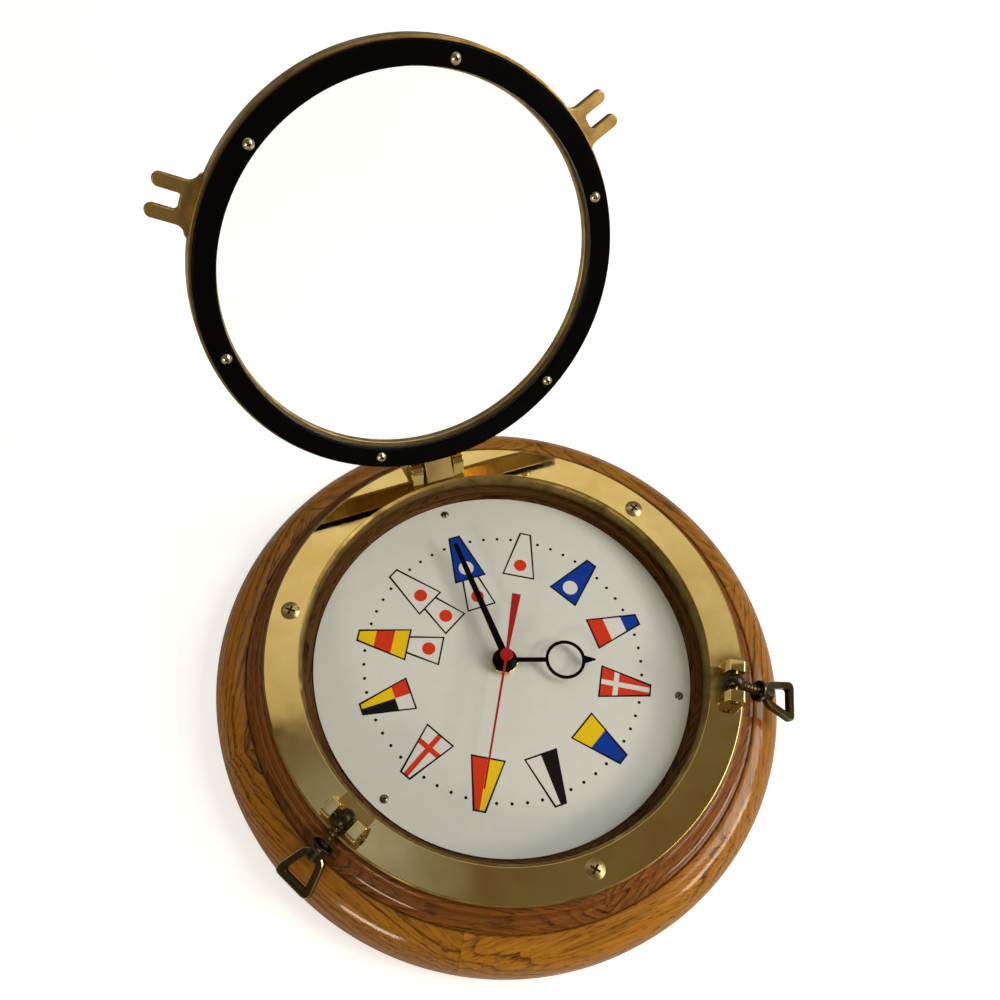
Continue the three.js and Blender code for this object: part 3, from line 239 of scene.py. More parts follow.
def washer(inner, outer, low, high, ease=0.15, steps=72):
    return turned(softened([(inner, low), (outer, low), (outer, high), (inner, high)], ease), steps)


def sawn(outline, low, high, ease=0.0, steps=3):
    made = bmesh.new()
    face = made.faces.new([made.verts.new((x, y, low)) for x, y in outline])
    lifted = bmesh.ops.extrude_face_region(made, geom=[face])["geom"]
    for point in lifted:
        if isinstance(point, bmesh.types.BMVert):
            point.co.z = high
    if ease:
        rims = [e for e in made.edges if abs(e.verts[0].co.z - e.verts[1].co.z) < 1e-6]
        bmesh.ops.bevel(made, geom=rims, offset=ease, segments=steps, profile=0.5, affect="EDGES", clamp_overlap=True)
    made.verts.index_update()
    shape = [tuple(v.co) for v in made.verts], [tuple(v.index for v in f.verts) for f in made.faces]
    made.free()
    return shape


def moved(shape, matrix):
    return [tuple(matrix @ Vector(p)) for p in shape[0]], shape[1]


def turn_about(axis, degrees):
    return Matrix.Rotation(math.radians(degrees), 4, axis)


def at_clock(clock):
    return turn_about("Z", -clock)


print("softened square:", len(softened([(0, 0), (2, 0), (2, 2), (0, 2)], 0.3)), "points")

# %% [markdown]
# A finished piece is one object at the origin with its place in its mesh. The functions below join the shapes of a
# piece, give each its material, point the faces outwards and shade them smooth up to a real edge. Large faces lead
# the shading, so a flat stays flat beside its eased edge. Then the piece is parented to an empty for the body that
# carries it, and the CAD nodes it stands for, most often the node of its own name, are hidden.

# %% Finish a piece
def mesh_of(name, shapes):
    points, faces, kinds, finishes = [], [], [], []
    for (own_points, own_faces), material in shapes:
        if material not in finishes:
            finishes.append(material)
        faces += [tuple(i + len(points) for i in face) for face in own_faces]
        kinds += [finishes.index(material)] * len(own_faces)
        points += [tuple(v * MM for v in p) for p in own_points]
    mesh = bpy.data.meshes.new(name)
    mesh.from_pydata(points, [], faces)
    for material in finishes:
        mesh.materials.append(material)
    mesh.polygons.foreach_set("material_index", kinds)
    return mesh


def tidied(mesh, angle=32):
    made = bmesh.new()
    made.from_mesh(mesh)
    bmesh.ops.remove_doubles(made, verts=made.verts, dist=2e-7)
    bmesh.ops.dissolve_degenerate(made, edges=made.edges, dist=1e-7)
    bmesh.ops.recalc_face_normals(made, faces=made.faces)
    made.to_mesh(mesh)
    made.free()
    mesh.shade_smooth()
    mesh.set_sharp_from_angle(angle=math.radians(angle))
    return mesh


def evaluated(thing):
    graph = bpy.context.evaluated_depsgraph_get()
    return bpy.data.meshes.new_from_object(thing.evaluated_get(graph), preserve_all_data_layers=True, depsgraph=graph)


def placed(name, mesh, body, nodes=()):
    work = linked("work", mesh)
    work.modifiers.new("flat faces", "WEIGHTED_NORMAL").keep_sharp = True
    piece = linked(name, evaluated(work))
    bpy.data.objects.remove(work)
    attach(piece, body)
    if nodes:
        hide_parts(*nodes)
    piece.data.calc_loop_triangles()
    print(name, "on", body, len(piece.data.loop_triangles), "triangles")


def fitted(name, shapes, body):
    placed(name, tidied(mesh_of(name, shapes)), body, [name])


def points_of(mesh):
    return [tuple(v.co / MM) for v in mesh.vertices], [tuple(p.vertices) for p in mesh.polygons]


def drilled(mesh, cutters):
    """Takes each cutter shape out of a mesh, as a drill or a router would."""
    work = linked("work", mesh)
    helpers = [linked("cutter", tidied(mesh_of("cutter", [(shape, None)]))) for shape in cutters]
    for helper in helpers:
        cut = work.modifiers.new("cut", "BOOLEAN")
        cut.operation, cut.solver, cut.object = "DIFFERENCE", "EXACT", helper
    made = evaluated(work)
    for thing in helpers + [work]:
        bpy.data.objects.remove(thing)
    return made


# %% [markdown]
# ## Around the clock
# Screws, minute dots and the staves of the case all repeat about the clock's axis. One Geometry Nodes tree serves
# them: it lays points on a clock face by count, first angle, radius and height, turns a copy of a piece outwards
# at each, can skip every nth place, and can give each copy its own spin, as screws stop where they are tight.

# %% What every tree needs
def new_tree(name, inputs):
    tree = bpy.data.node_groups.new(name, "GeometryNodeTree")
    tree.interface.new_socket("Geometry", in_out="INPUT", socket_type="NodeSocketGeometry")
    sockets = {key: tree.interface.new_socket(key, in_out="INPUT", socket_type="NodeSocket" + kind).identifier
               for key, kind in inputs.items()}
    tree.interface.new_socket("Geometry", in_out="OUTPUT", socket_type="NodeSocketGeometry")
    return tree, sockets, add(tree, "NodeGroupInput").outputs


def end_tree(tree, geometry, material):
    real = add(tree, "GeometryNodeRealizeInstances", {"Geometry": geometry})
    done = add(tree, "GeometryNodeSetMaterial", {"Geometry": real, "Material": material})
    add(tree, "NodeGroupOutput", {0: done})


def baked(name, tree, sockets, values):
    holder = linked(name, bpy.data.meshes.new(name))
    work = holder.modifiers.new(tree.name, "NODES")
    work.node_group = tree
    for key, value in values.items():
        work[sockets[key]] = value
    made = evaluated(holder)
    made.name = name
    bpy.data.objects.remove(holder)
    return made


# %% A tree for pieces around the clock
def clock_tree():
    tree, sockets, given = new_tree("around the clock", {
        "Piece": "Object", "Count": "Int", "First Angle": "Float", "Radius": "Float", "Height": "Float",
        "Skip Every": "Int", "Spin": "Float", "Finish": "Material"})
    index = add(tree, "GeometryNodeInputIndex")
    line = add(tree, "GeometryNodeMeshLine", {"Count": given["Count"], "Offset": (0, 0, 0)})
    share = add(tree, MATH, {0: index, 1: given["Count"]}, operation="DIVIDE")
    angle = add(tree, MATH, {0: share, 1: 2 * math.pi, 2: given["First Angle"]}, operation="MULTIPLY_ADD")
    across = add(tree, MATH, {0: angle}, operation="SINE")
    along = add(tree, MATH, {0: angle}, operation="COSINE")
    flat = add(tree, "ShaderNodeCombineXYZ", {"X": across, "Y": along})
    out = add(tree, "ShaderNodeVectorMath", {0: flat, "Scale": given["Radius"]}, operation="SCALE")
    level = add(tree, "ShaderNodeCombineXYZ", {"Z": given["Height"]})
    spot = add(tree, "ShaderNodeVectorMath", {0: out, 1: level}, operation="ADD")
    points = add(tree, "GeometryNodeSetPosition", {"Geometry": line, "Position": spot})
    rest = add(tree, MATH, {0: index, 1: given["Skip Every"]}, operation="MODULO")
    skipped = add(tree, "FunctionNodeCompare", {0: rest, 1: 0.5}, data_type="FLOAT", operation="LESS_THAN")
    wanted = add(tree, "FunctionNodeCompare", {0: given["Skip Every"], 1: 0.5},
                 data_type="FLOAT", operation="GREATER_THAN")
    gone = add(tree, "FunctionNodeBooleanMath", {0: skipped, 1: wanted}, operation="AND")
    kept = add(tree, "GeometryNodeDeleteGeometry", {"Geometry": points, "Selection": gone})
    own = add(tree, MATH, {0: add(tree, "GeometryNodeInputIndex"), 1: given["Spin"]}, operation="MULTIPLY")
    faced = add(tree, MATH, {0: own, 1: angle}, operation="SUBTRACT")
    facing = add(tree, "ShaderNodeCombineXYZ", {"Z": faced})
    turn = add(tree, "FunctionNodeEulerToRotation", {0: facing})
    source = add(tree, "GeometryNodeObjectInfo", {"Object": given["Piece"]}).outputs["Geometry"]
    copies = add(tree, "GeometryNodeInstanceOnPoints", {"Points": kept, "Instance": source, "Rotation": turn})
    end_tree(tree, copies, given["Finish"])
    return tree, sockets


CLOCK_TREE, CLOCK_SOCKETS = clock_tree()


def around_clock(name, mesh, material, count, first=0.0, radius=0.0, height=0.0, skip=0, spin=0.0):
    source = linked(name + "_source", mesh)
    made = baked(name, CLOCK_TREE, CLOCK_SOCKETS, {
        "Piece": source, "Count": count, "First Angle": math.radians(first), "Radius": radius * MM,
        "Height": height * MM, "Skip Every": skip, "Spin": spin, "Finish": material})
    bpy.data.objects.remove(source)
    return made


print("tree inputs:", list(CLOCK_SOCKETS))

# %% [markdown]
# ## Lacquered oak
# The case is oak under a clear lacquer: broad smooth fields of honey or brown, thin darker lines of late wood about
# 3 mm apart, and short open pores that run along the grain. Each stave is its own board, so the pattern reads an
# attribute called grain, the position in the stave's board with X along the wood. Real pores are 0.3 mm wide; they
# are drawn 0.65 mm wide so that they show at this image size. The lacquer is the shader's coat, thin and a little
# soft, so the shine stays smooth over the pores.

# %% Oak
LATE_WOOD = 0.0031
PLANK, FIBRE, PORE = (0.11, 0.012), (0.045, 0.0011), (0.010, 0.00065)  # length along the wood and width, in metres


def lacquered_oak(name, honey, brown, pore, lacquer):
    made, tree, surface = finish(name)
    board = add(tree, "ShaderNodeAttribute", attribute_name="grain").outputs["Vector"]
    tone = add(tree, "ShaderNodeAttribute", attribute_name="tone").outputs["Fac"]
    plank, strand, cell = (
        add(tree, "ShaderNodeMapping", {"Vector": board, "Scale": (1 / along, 1 / across, 1 / across)})
        for along, across in (PLANK, FIBRE, PORE))
    waver = add(tree, NOISE, {"Vector": plank, "Scale": 1.0, "Detail": 2.0}).outputs["Color"]
    bent = add(tree, "ShaderNodeVectorMath", {0: waver, 1: (0, 0.009, 0.009), 2: board}, operation="MULTIPLY_ADD")
    bands = add(tree, "ShaderNodeTexWave",
                {"Vector": bent, "Scale": 2 * math.pi / (20 * LATE_WOOD), "Distortion": 1.0, "Detail": 3.0,
                 "Detail Scale": 2.0}, wave_type="RINGS", rings_direction="X", wave_profile="SAW").outputs["Fac"]
    late = add(tree, RANGE, {"Value": bands, "From": (0.55, 1.0)}, **SOFT)
    field = add(tree, NOISE, {"Vector": plank, "Scale": 0.6, "Detail": 1.0})
    figure = add(tree, RANGE, {"Value": field, "From": (0.38, 0.62), "To": (0.25, 0.78)})
    lines = add(tree, MATH, {0: late, 1: figure}, operation="MULTIPLY")
    fibre = add(tree, NOISE, {"Vector": strand, "Scale": 1.0, "Detail": 4.0, "Roughness": 0.6})
    streak = add(tree, RANGE, {"Value": fibre, "From": (0.38, 0.7), "To": (0, 0.6)})
    share = add(tree, MATH, {0: lines, 1: streak}, operation="ADD", use_clamp=True)
    wood = add(tree, MIX, {0: share, 6: linear(honey), 7: linear(brown)}, data_type="RGBA")
    open_cells = add(tree, NOISE, {"Vector": cell, "Scale": 1.0, "Detail": 1.0})
    lifted = add(tree, MATH, {0: lines, 1: 0.13, 2: open_cells}, operation="MULTIPLY_ADD")
    pores = add(tree, RANGE, {"Value": lifted, "From": (0.62, 0.70), "To": (0, 0.75)}, **SOFT)
    pored = add(tree, MIX, {0: pores, 6: wood, 7: linear(pore)}, data_type="RGBA")
    value = add(tree, MATH, {0: tone, 1: 0.08, 2: 1.0}, operation="MULTIPLY_ADD")
    toned = add(tree, "ShaderNodeHueSaturation", {"Value": value, "Color": pored})
    gloss = add(tree, RANGE, {"Value": fibre, "To": (0.4, 0.55)})
    dents = add(tree, "ShaderNodeBump", {"Strength": 0.3, "Distance": 0.00012, "Height": pores}, invert=True)
    wire(tree, surface, {"Base Color": toned, "Roughness": gloss, "Normal": dents, "Specular IOR Level": 0.1,
                         "Coat Weight": lacquer, "Coat Roughness": 0.11})
    return made


oak_bead = lacquered_oak("lacquered honey oak", "#A66D1A", "#5E390C", "#3A2006", 0.5)
oak_cove = lacquered_oak("lacquered stained oak", "#824C12", "#462607", "#241304", 0.42)
# The bore's oak is thinly lacquered, and its darker colour is painted shade, the shade in the bore under the flange.
bore_shade_oak = lacquered_oak("oak with painted bore shade", "#5E3F1B", "#291608", "#150A03", 0.1)
print(oak_bead.name, oak_cove.name, bore_shade_oak.name, sep=", ")

# %% [markdown]
# ## The oak case
# The case is two rings glued together. Each ring is six staves, and the joints of one ring fall half-way between
# those of the other, as a cooper or a bricklayer would do it. One stave is turned as a sixth of a ring, and the
# tree sets six around the clock. The front ring has an ogee, a rounded edge that runs into a hollow, and a small
# quirk is cut between that and the bead, which shows as a dark line beside a bright one. The pockets for the
# hanger are routed out of the back ring. Afterwards every point learns where it lies in its own board, and the wall
# of the bore and the ledge round the dial get a thin-lacquered oak whose darker colour is painted shade, the shade
# that falls in the bore under the flange.

# %% Staves
STAVES = 6
JOINT = 0.06
BOARD_MIDDLE = 0.125


def stave(section, steps=40):
    count, half = len(section), math.radians(180 / STAVES - JOINT / 2)
    points = []
    for k in range(steps + 1):
        t = -half + 2 * half * k / steps
        points += [(r * math.sin(t), r * math.cos(t), z) for r, z in section]
    ends = [tuple(range(count)), tuple(steps * count + i for i in reversed(range(count)))]
    return points, quads(steps + 1, count, steps) + ends


def boards(mesh, first, seed):
    """Writes each point's place in its own board, and a tone for each board."""
    pick = random.Random(seed)
    shift = [Vector((pick.uniform(-1, 1), pick.uniform(-0.06, 0.06), pick.choice((-1, 1)) * pick.uniform(0.03, 0.07)))
             for _ in range(STAVES)]
    tones = [pick.uniform(-1, 1) for _ in range(STAVES)]
    mesh.attributes.new("grain", "FLOAT_VECTOR", "POINT")
    mesh.attributes.new("tone", "FLOAT", "POINT")
    grain, tone = mesh.attributes["grain"], mesh.attributes["tone"]
    for i, point in enumerate(mesh.vertices):
        clock = math.degrees(math.atan2(point.co.x, point.co.y))
        which = round((clock - first) / (360 / STAVES)) % STAVES
        middle = math.radians(first + which * 360 / STAVES)
        along = Vector((math.cos(middle), -math.sin(middle), 0))
        out = Vector((math.sin(middle), math.cos(middle), 0))
        place = Vector((point.co.dot(along), point.co.dot(out) - BOARD_MIDDLE, point.co.z))
        grain.data[i].vector = place + shift[which]
        tone.data[i].value = tones[which]


print(STAVES, "staves to a ring, with joints of", JOINT, "degrees")

# %% Oak rings
BORE_RADIUS, BORE_FLOOR = 104.5 * MM, 24 * MM
bead = arc((134, 10), 16, 0, 88, 22) + [(133.9, 25.9), (133.5, 25.6), (133.2, 25), (133.1, 24.4)]
back_section = ([(88, 5.3), (94.3, 5.3), (94.3, 0)] + arc((147, 3), 3, -90, 0, 6) + bead
                + [(132.7, 24.4), (132.6, 26), (101.4, 26), (100.5, 26), (99.5, 25), (99.5, 24.5), (88, 24.5)])
front_section = ([(101.5, 26)] + arc((133, 35.8), 7.1, 267, 180, 18, 9.8) + arc((123.7, 35.8), 2.2, 0, 90, 8)[1:]
                 + [(106.3, 38), (106.3, 31.7), (101.5, 31.7)])
pockets = [sawn([(-x, low), (x, low), (x, 125.8), (-x, 125.8)], -1, depth)
           for x, low, depth in ((23.3, 114.2, 1.6), (17, 106.2, 9))]
for name, section, first, seed, material, cutters in (
        ("oak_back_ring", back_section, 179.1, 3, oak_bead, pockets),
        ("oak_front_ring", front_section, 149.3, 8, oak_cove, [])):
    ring = around_clock(name, mesh_of("stave", [(stave(section), material)]), material, STAVES, first)
    ring = tidied(drilled(ring, cutters) if cutters else ring)
    boards(ring, first, seed)
    ring.materials.append(bore_shade_oak)
    # Faces in the bore and on the ledge round the dial take the oak with painted shade.
    for face in ring.polygons:
        if face.center.z > BORE_FLOOR and math.hypot(face.center.x, face.center.y) < BORE_RADIUS:
            face.material_index = 1
    placed(name, ring, "case", [name])

# %% [markdown]
# ## Brass in three states
# The flange is brass, polished on a mop and lacquered: a mirror with a faint waviness of a few centimetres. The
# window frame and its ears are cast brass, only brushed over, grey-brown where fingers never reach. The bolts and
# hand nuts are brass in a dark antique finish that has worn bright along its edges. A metal keeps the default IOR
# and its colour sits in the base colour.

# %% Polished brass
def polished_brass():
    made, tree, surface = finish("polished lacquered brass")
    spot = add(tree, "ShaderNodeTexCoord").outputs["Object"]
    patina = add(tree, NOISE, {"Vector": spot, "Scale": 1 / 0.022, "Detail": 4.0})
    cloud = add(tree, RANGE, {"Value": patina, "From": (0.35, 0.75)})
    gold = add(tree, MIX, {0: cloud, 6: linear("#E3C980"), 7: linear("#D3B268")}, data_type="RGBA")
    haze = add(tree, NOISE, {"Vector": spot, "Scale": 1 / 0.006, "Detail": 5.0})
    shine = add(tree, RANGE, {"Value": haze, "From": (0.35, 0.7), "To": (0.03, 0.08)})
    wave = add(tree, NOISE, {"Vector": spot, "Scale": 1 / 0.035, "Detail": 1.0})
    slow = add(tree, "ShaderNodeBump", {"Strength": 0.5, "Distance": 0.0004, "Height": wave})
    wire(tree, surface, {"Base Color": gold, "Roughness": shine, "Normal": slow, "Metallic": 1.0})
    return made


bright_brass = polished_brass()
print(bright_brass.name)


# %% Cast and antique brass
def aged_brass(name, clean, stain, worn, grit, shine):
    made, tree, surface = finish(name)
    spot = add(tree, "ShaderNodeTexCoord").outputs["Object"]
    cloud = add(tree, NOISE, {"Vector": spot, "Scale": 1 / 0.012, "Detail": 6.0, "Roughness": 0.62})
    share = add(tree, RANGE, {"Value": cloud, "From": (0.38, 0.68)}, **SOFT)
    metal = add(tree, MIX, {0: share, 6: linear(clean), 7: linear(stain)}, data_type="RGBA")
    edge = add(tree, "ShaderNodeNewGeometry").outputs["Pointiness"]
    rubbed = add(tree, RANGE, {"Value": edge, "From": (0.53, 0.60)}, **SOFT)
    bare = add(tree, MIX, {0: rubbed, 6: metal, 7: linear(worn)}, data_type="RGBA")
    sand = add(tree, NOISE, {"Vector": spot, "Scale": 1 / grit, "Detail": 3.0})
    gloss = add(tree, RANGE, {"Value": cloud, "From": (0.3, 0.7), "To": (shine - 0.08, shine + 0.12)})
    pits = add(tree, "ShaderNodeBump", {"Strength": 0.35, "Distance": 0.0002, "Height": sand})
    wire(tree, surface, {"Base Color": bare, "Roughness": gloss, "Normal": pits, "Metallic": 1.0})
    return made


cast_brass = aged_brass("satin cast brass", "#98814A", "#6E582D", "#B8A062", 0.0012, 0.46)
dark_brass = aged_brass("antique dark brass", "#453C2E", "#2B251C", "#B29C6C", 0.0010, 0.34)
thread_brass = aged_brass("antique brass, threaded", "#3E3424", "#2A2319", "#5E5038", 0.0010, 0.3)
worn_brass = aged_brass("brass worn bare", "#A39368", "#7C6E4E", "#BFAF86", 0.0010, 0.28)
window_brass = aged_brass("brushed window brass", "#A88D57", "#846B3E", "#BCA46C", 0.0012, 0.38)
print(cast_brass.name, window_brass.name, dark_brass.name, thread_brass.name, worn_brass.name, sep=", ")

# %% [markdown]
# ## The flange
# The flange is one casting: a flat ring with a lip in the bore, two lugs for the hinge and two pairs for the
# bolts. The mop could not reach the wall of the lip, the outer edge or the seats between the lugs and the bore, so
# those faces keep the cast finish and catch the light softly, as a pale line round the mirror.

# %% Flange
FACE = 42.0
HINGE = Vector((0, 112, 51.5))
PIN = Vector((0, 116, 48.6))
BOLTS = {"right": 118, "left": 242}
SEATS = [(0, 7.6)] + [(clock, 5.3) for clock in BOLTS.values()]
MIRROR_START, SEAT_END, MIRROR_END = 105.8, 118, 122.3
HALF_LUG = 3
across_x = Matrix(((0, 0, 1, 0), (1, 0, 0, 0), (0, 1, 0, 0), (0, 0, 0, 1)))


def unpolished(points, face):
    x, y = (sum(points[i][k] for i in face) / len(face) for k in range(2))
    radius, clock = math.hypot(x, y), math.degrees(math.atan2(x, y))
    seat = any(abs((clock - middle + 180) % 360 - 180) < half for middle, half in SEATS)
    return not MIRROR_START < radius < MIRROR_END or (seat and radius < SEAT_END)


def lug(outline, x, place=Matrix()):
    return moved(sawn(outline, x - HALF_LUG, x + HALF_LUG, 0.6), place @ across_x), bright_brass


points, faces = turned(softened([(104, 32), (106, 32), (106, 38), (123.1, 38), (123.1, 41.4), (122.5, 42),
                                 (105.5, 42), (104, 40.5)], 0.5), 360)
shapes = [((points, [f for f in faces if not unpolished(points, f)]), bright_brass),
          ((points, [f for f in faces if unpolished(points, f)]), cast_brass)]
hinge_lug = softened([(106.2, 41), (118.5, 41), (118.5, 45.2)] + arc((112, 51.5), 4.5, 15, 180, 16), 0.3)
bolt_lug = softened([(110, 41), (121.2, 41)] + arc((119.7, 50.5), 1.5, 0, 90, 5) + [(112.6, 52), (110, 43.5)], 0.6)
shapes += [lug(hinge_lug, x) for x in (-11.7, 11.7)]
shapes += [lug(bolt_lug, x, at_clock(clock)) for clock in BOLTS.values() for x in (-8.1, 8.1)]
fitted("flange_ring", shapes, "case")


# %% Pins
def rod(radius, length, ease=0.6):
    return washer(AXIS, radius, -length / 2, length / 2, ease, 40)


lying = turn_about("Y", 90)
fitted("hinge_pin", [(moved(rod(2.5, 30.4), Matrix.Translation(HINGE) @ lying), cast_brass)], "case")
for side, clock in BOLTS.items():
    pin = moved(rod(2.0, 23.2), at_clock(clock) @ Matrix.Translation(PIN) @ lying)
    fitted("dog_pin_" + side, [(pin, dark_brass)], "case")

# %% [markdown]
# ## Paints, inks, plastics and plate
# One finish serves everything that is only a skin of colour: two close shades, mixed by a mottle of a real size,
# which also moves the roughness and dents the skin a little. Ink is matt, plastic is satin, and plated steel is the
# same mottle on a metal. The nickel on the window's screws is scuffed but not dented.

# %% Mottled finishes
def mottled(name, colour, shade, grain, gloss, spread=0.08, dent=0.25, gleam=0.5, metal=0.0):
    made, tree, surface = finish(name)
    spot = add(tree, "ShaderNodeTexCoord").outputs["Object"]
    mottle = add(tree, NOISE, {"Vector": spot, "Scale": 1 / grain, "Detail": 4.0})
    tint = add(tree, MIX, {0: mottle, 6: linear(colour), 7: linear(shade)}, data_type="RGBA")
    skin = add(tree, "ShaderNodeBump", {"Strength": dent, "Distance": 0.0001, "Height": mottle})
    satin = add(tree, RANGE, {"Value": mottle, "To": (gloss - spread, gloss + spread)})
    wire(tree, surface, {"Base Color": tint, "Normal": skin, "Roughness": satin, "Specular IOR Level": gleam,
                         "Metallic": metal})
    return made


def nickel_plate():
    made, tree, surface = finish("nickel plated brass")
    spot = add(tree, "ShaderNodeTexCoord").outputs["Object"]
    scuff = add(tree, NOISE, {"Vector": spot, "Scale": 1 / 0.0015, "Detail": 3.0})
    gloss = add(tree, RANGE, {"Value": scuff, "From": (0.3, 0.7), "To": (0.14, 0.34)})
    tint = add(tree, MIX, {0: scuff, 6: linear("#D3CAAE"), 7: linear("#A2977A")}, data_type="RGBA")
    wire(tree, surface, {"Base Color": tint, "Roughness": gloss, "Metallic": 1.0})
    return made


nickel = nickel_plate()
print(nickel.name)

# %% [markdown]
# ## Screws
# Three sizes of screw hold the clock together, all with a domed head and a cross recess. One head is turned, a
# cross is cut out of it, and the tree puts the copies around the clock, each stopped at another angle. A dark fill
# lies in the bottom of each recess as painted shade, which is what makes the cross show from far away.

# %% Screw heads
def cross(width, length):
    w, l = width / 2, length / 2
    return [(-w, -l), (w, -l), (w, -w), (l, -w), (l, w), (w, w), (w, l), (-w, l), (-w, w), (-l, w), (-l, -w), (-w, -w)]


def screw(radius, height, slot_width, slot_length, slot_depth, rim=0.3):
    """A head with its cross recess, and a dark fill that paints the shade in the recess."""
    curve = (radius * radius + (height - rim) ** 2) / (2 * (height - rim))
    dome = [(r, height - curve + math.sqrt(max(curve ** 2 - r ** 2, 0)))
            for r in (radius * (1 - i / 10) for i in range(10))]
    section = [(AXIS, -0.4), (radius, -0.4)] + dome + [(AXIS, height)]
    head = tidied(mesh_of("head", [(turned(section, 36), None)]))
    floor = height - slot_depth
    head = tidied(drilled(head, [sawn(cross(slot_width, slot_length), floor, height + 1)]), 40)
    # The dark fill laid in the recess here is painted shade.
    recess_shade_fill = sawn(cross(slot_width - 0.04, slot_length - 0.04), floor - 0.1, floor + slot_depth * 0.4)
    return head, tidied(mesh_of("recess_shade_fill", [(recess_shade_fill, None)]))


def screws_around(name, pair, metal, count, first, radius, level, spin, turn=Matrix(), place=Matrix()):
    shapes = []
    # The second part of each pair is the recess fill, which is painted shade.
    for part, material in zip(pair, (metal, painted_recess_shade)):
        part.transform(turn)
        copies = around_clock(name, part, material, count, first, radius, level, spin=spin)
        shapes.append((moved(points_of(copies), place), material))
    return tidied(mesh_of(name, shapes), 40)


screw_brass = aged_brass("tarnished screw brass", "#C0A878", "#8C7450", "#D2BE94", 0.0008, 0.3)
steel = aged_brass("dull nickel plate", "#85837C", "#5F5D57", "#A3A198", 0.0008, 0.32)
# Very dark brass for the recess fill: painted shade.
painted_recess_shade = aged_brass("painted recess shade", "#2A2016", "#1A130C", "#3A2C1C", 0.0008, 0.6)
DIAL = 26.0
screws = screws_around("flange_screws", screw(4.8, 1.5, 1.1, 5.2, 1.2), screw_brass, 3, 60, 113.2, FACE, 0.7)
placed("flange_screws", screws, "case", ["flange_screw_%d" % i for i in (1, 2, 3)])
screws = screws_around("dial_screws", screw(2.2, 1.1, 0.6, 2.6, 0.7, 0.2), steel, 3, 0, 93.3, DIAL, 1.1)
placed("dial_screws", screws, "case", ["dial_screw_%d" % i for i in (1, 2, 3)])

# %% [markdown]
# ## The window
# The window is drawn shut, with heights measured from the flange, and then turned open about its hinge. The frame
# is a turned ring with a tongue for the hinge and two forked ears. A glass disc lies against its front lip and
# a broad black ring, nearly as wide as the frame, holds the glass from behind with six small screws. Clear glass
# would throw a black shadow in the renderer, so a transparent shader takes its place for shadow rays alone.

# %% Window frame and ears
OPENING = 118
SHUT_HINGE = (0, HINGE.y, HINGE.z - FACE)
OPEN = Matrix.Translation(HINGE) @ turn_about("X", -OPENING) @ Matrix.Translation([-v for v in SHUT_HINGE])
at_hinge = Matrix.Translation(SHUT_HINGE)
frame_section = ([(105.8, 4)] + arc((103.4, 11.5), 2.4, 0, 90, 8)
                 + [(94.5, 13.9), (92.5, 11.9), (92.5, 8.3), (95.9, 8.3), (95.9, 4)])
tongue = [(-8, -4)] + arc((0, 0), 9.2, -50, 28, 18) + [(6.95, 6.53), (0, 4.4), (-8, 2.0)]
tongue = mesh_of("tongue", [(moved(sawn(tongue, -7.5, 7.5, 0.5), at_hinge @ across_x), window_brass)])
bore = moved(turned([(AXIS, -12), (2.6, -12), (2.6, 12), (AXIS, 12)], 40), at_hinge @ lying)
joined = bmesh.new()
joined.from_mesh(mesh_of("ring", [(turned(softened(frame_section, 0.4), 200), window_brass)]))
joined.from_mesh(drilled(tidied(tongue), [bore]))
whole = bpy.data.meshes.new("window_frame")
joined.to_mesh(whole)
joined.free()
whole.materials.append(window_brass)
whole.transform(Matrix.Scale(MM, 4) @ OPEN @ Matrix.Scale(1 / MM, 4))
placed("window_frame", tidied(whole), "window", ["window_frame"])

slot_end = arc((2.1, 113.1), 1.6, 270, 360, 5)
prong = [(3.7, 121.8)] + arc((6.9, 121.8), 3.2, 180, 0, 10)[1:]
right_half = slot_end + prong + arc((15.1, 110.8), 5, 180, 255, 8) + [(15.6, 103.8)]
ear = right_half + [(-x, y) for x, y in reversed(right_half)]
for side, clock in BOLTS.items():
    shape = moved(sawn(ear, 10.4, 13.6, 0.6), OPEN @ at_clock(clock))
    fitted("forked_ear_" + side, [(shape, window_brass)], "window")


# %% Glass, black ring and their screws
def float_glass():
    made, tree, surface = finish("clear float glass")
    wire(tree, surface, {"Base Color": linear("#FAFCFB"), "Roughness": 0.0, "IOR": 1.5, "Transmission Weight": 1.0})
    clear = add(tree, "ShaderNodeBsdfTransparent")
    ray = add(tree, "ShaderNodeLightPath").outputs["Is Shadow Ray"]
    both = add(tree, "ShaderNodeMixShader", {0: ray, 1: surface, 2: clear})
    wire(tree, tree.nodes["Material Output"], {"Surface": both})
    return made


def stove_enamel(name, colour, worn, gleam):
    made, tree, surface = finish(name)
    spot = add(tree, "ShaderNodeTexCoord").outputs["Object"]
    peel = add(tree, NOISE, {"Vector": spot, "Scale": 1 / 0.0018, "Detail": 2.0})
    dust = add(tree, NOISE, {"Vector": spot, "Scale": 1 / 0.009, "Detail": 5.0})
    share = add(tree, RANGE, {"Value": dust, "From": (0.45, 0.85), "To": (0, 0.5)})
    tint = add(tree, MIX, {0: share, 6: linear(colour), 7: linear(worn)}, data_type="RGBA")
    gloss = add(tree, RANGE, {"Value": dust, "To": (0.14, 0.26)})
    skin = add(tree, "ShaderNodeBump", {"Strength": 0.06, "Distance": 0.0001, "Height": peel})
    wire(tree, surface, {"Base Color": tint, "Roughness": gloss, "Normal": skin, "Specular IOR Level": gleam})
    return made


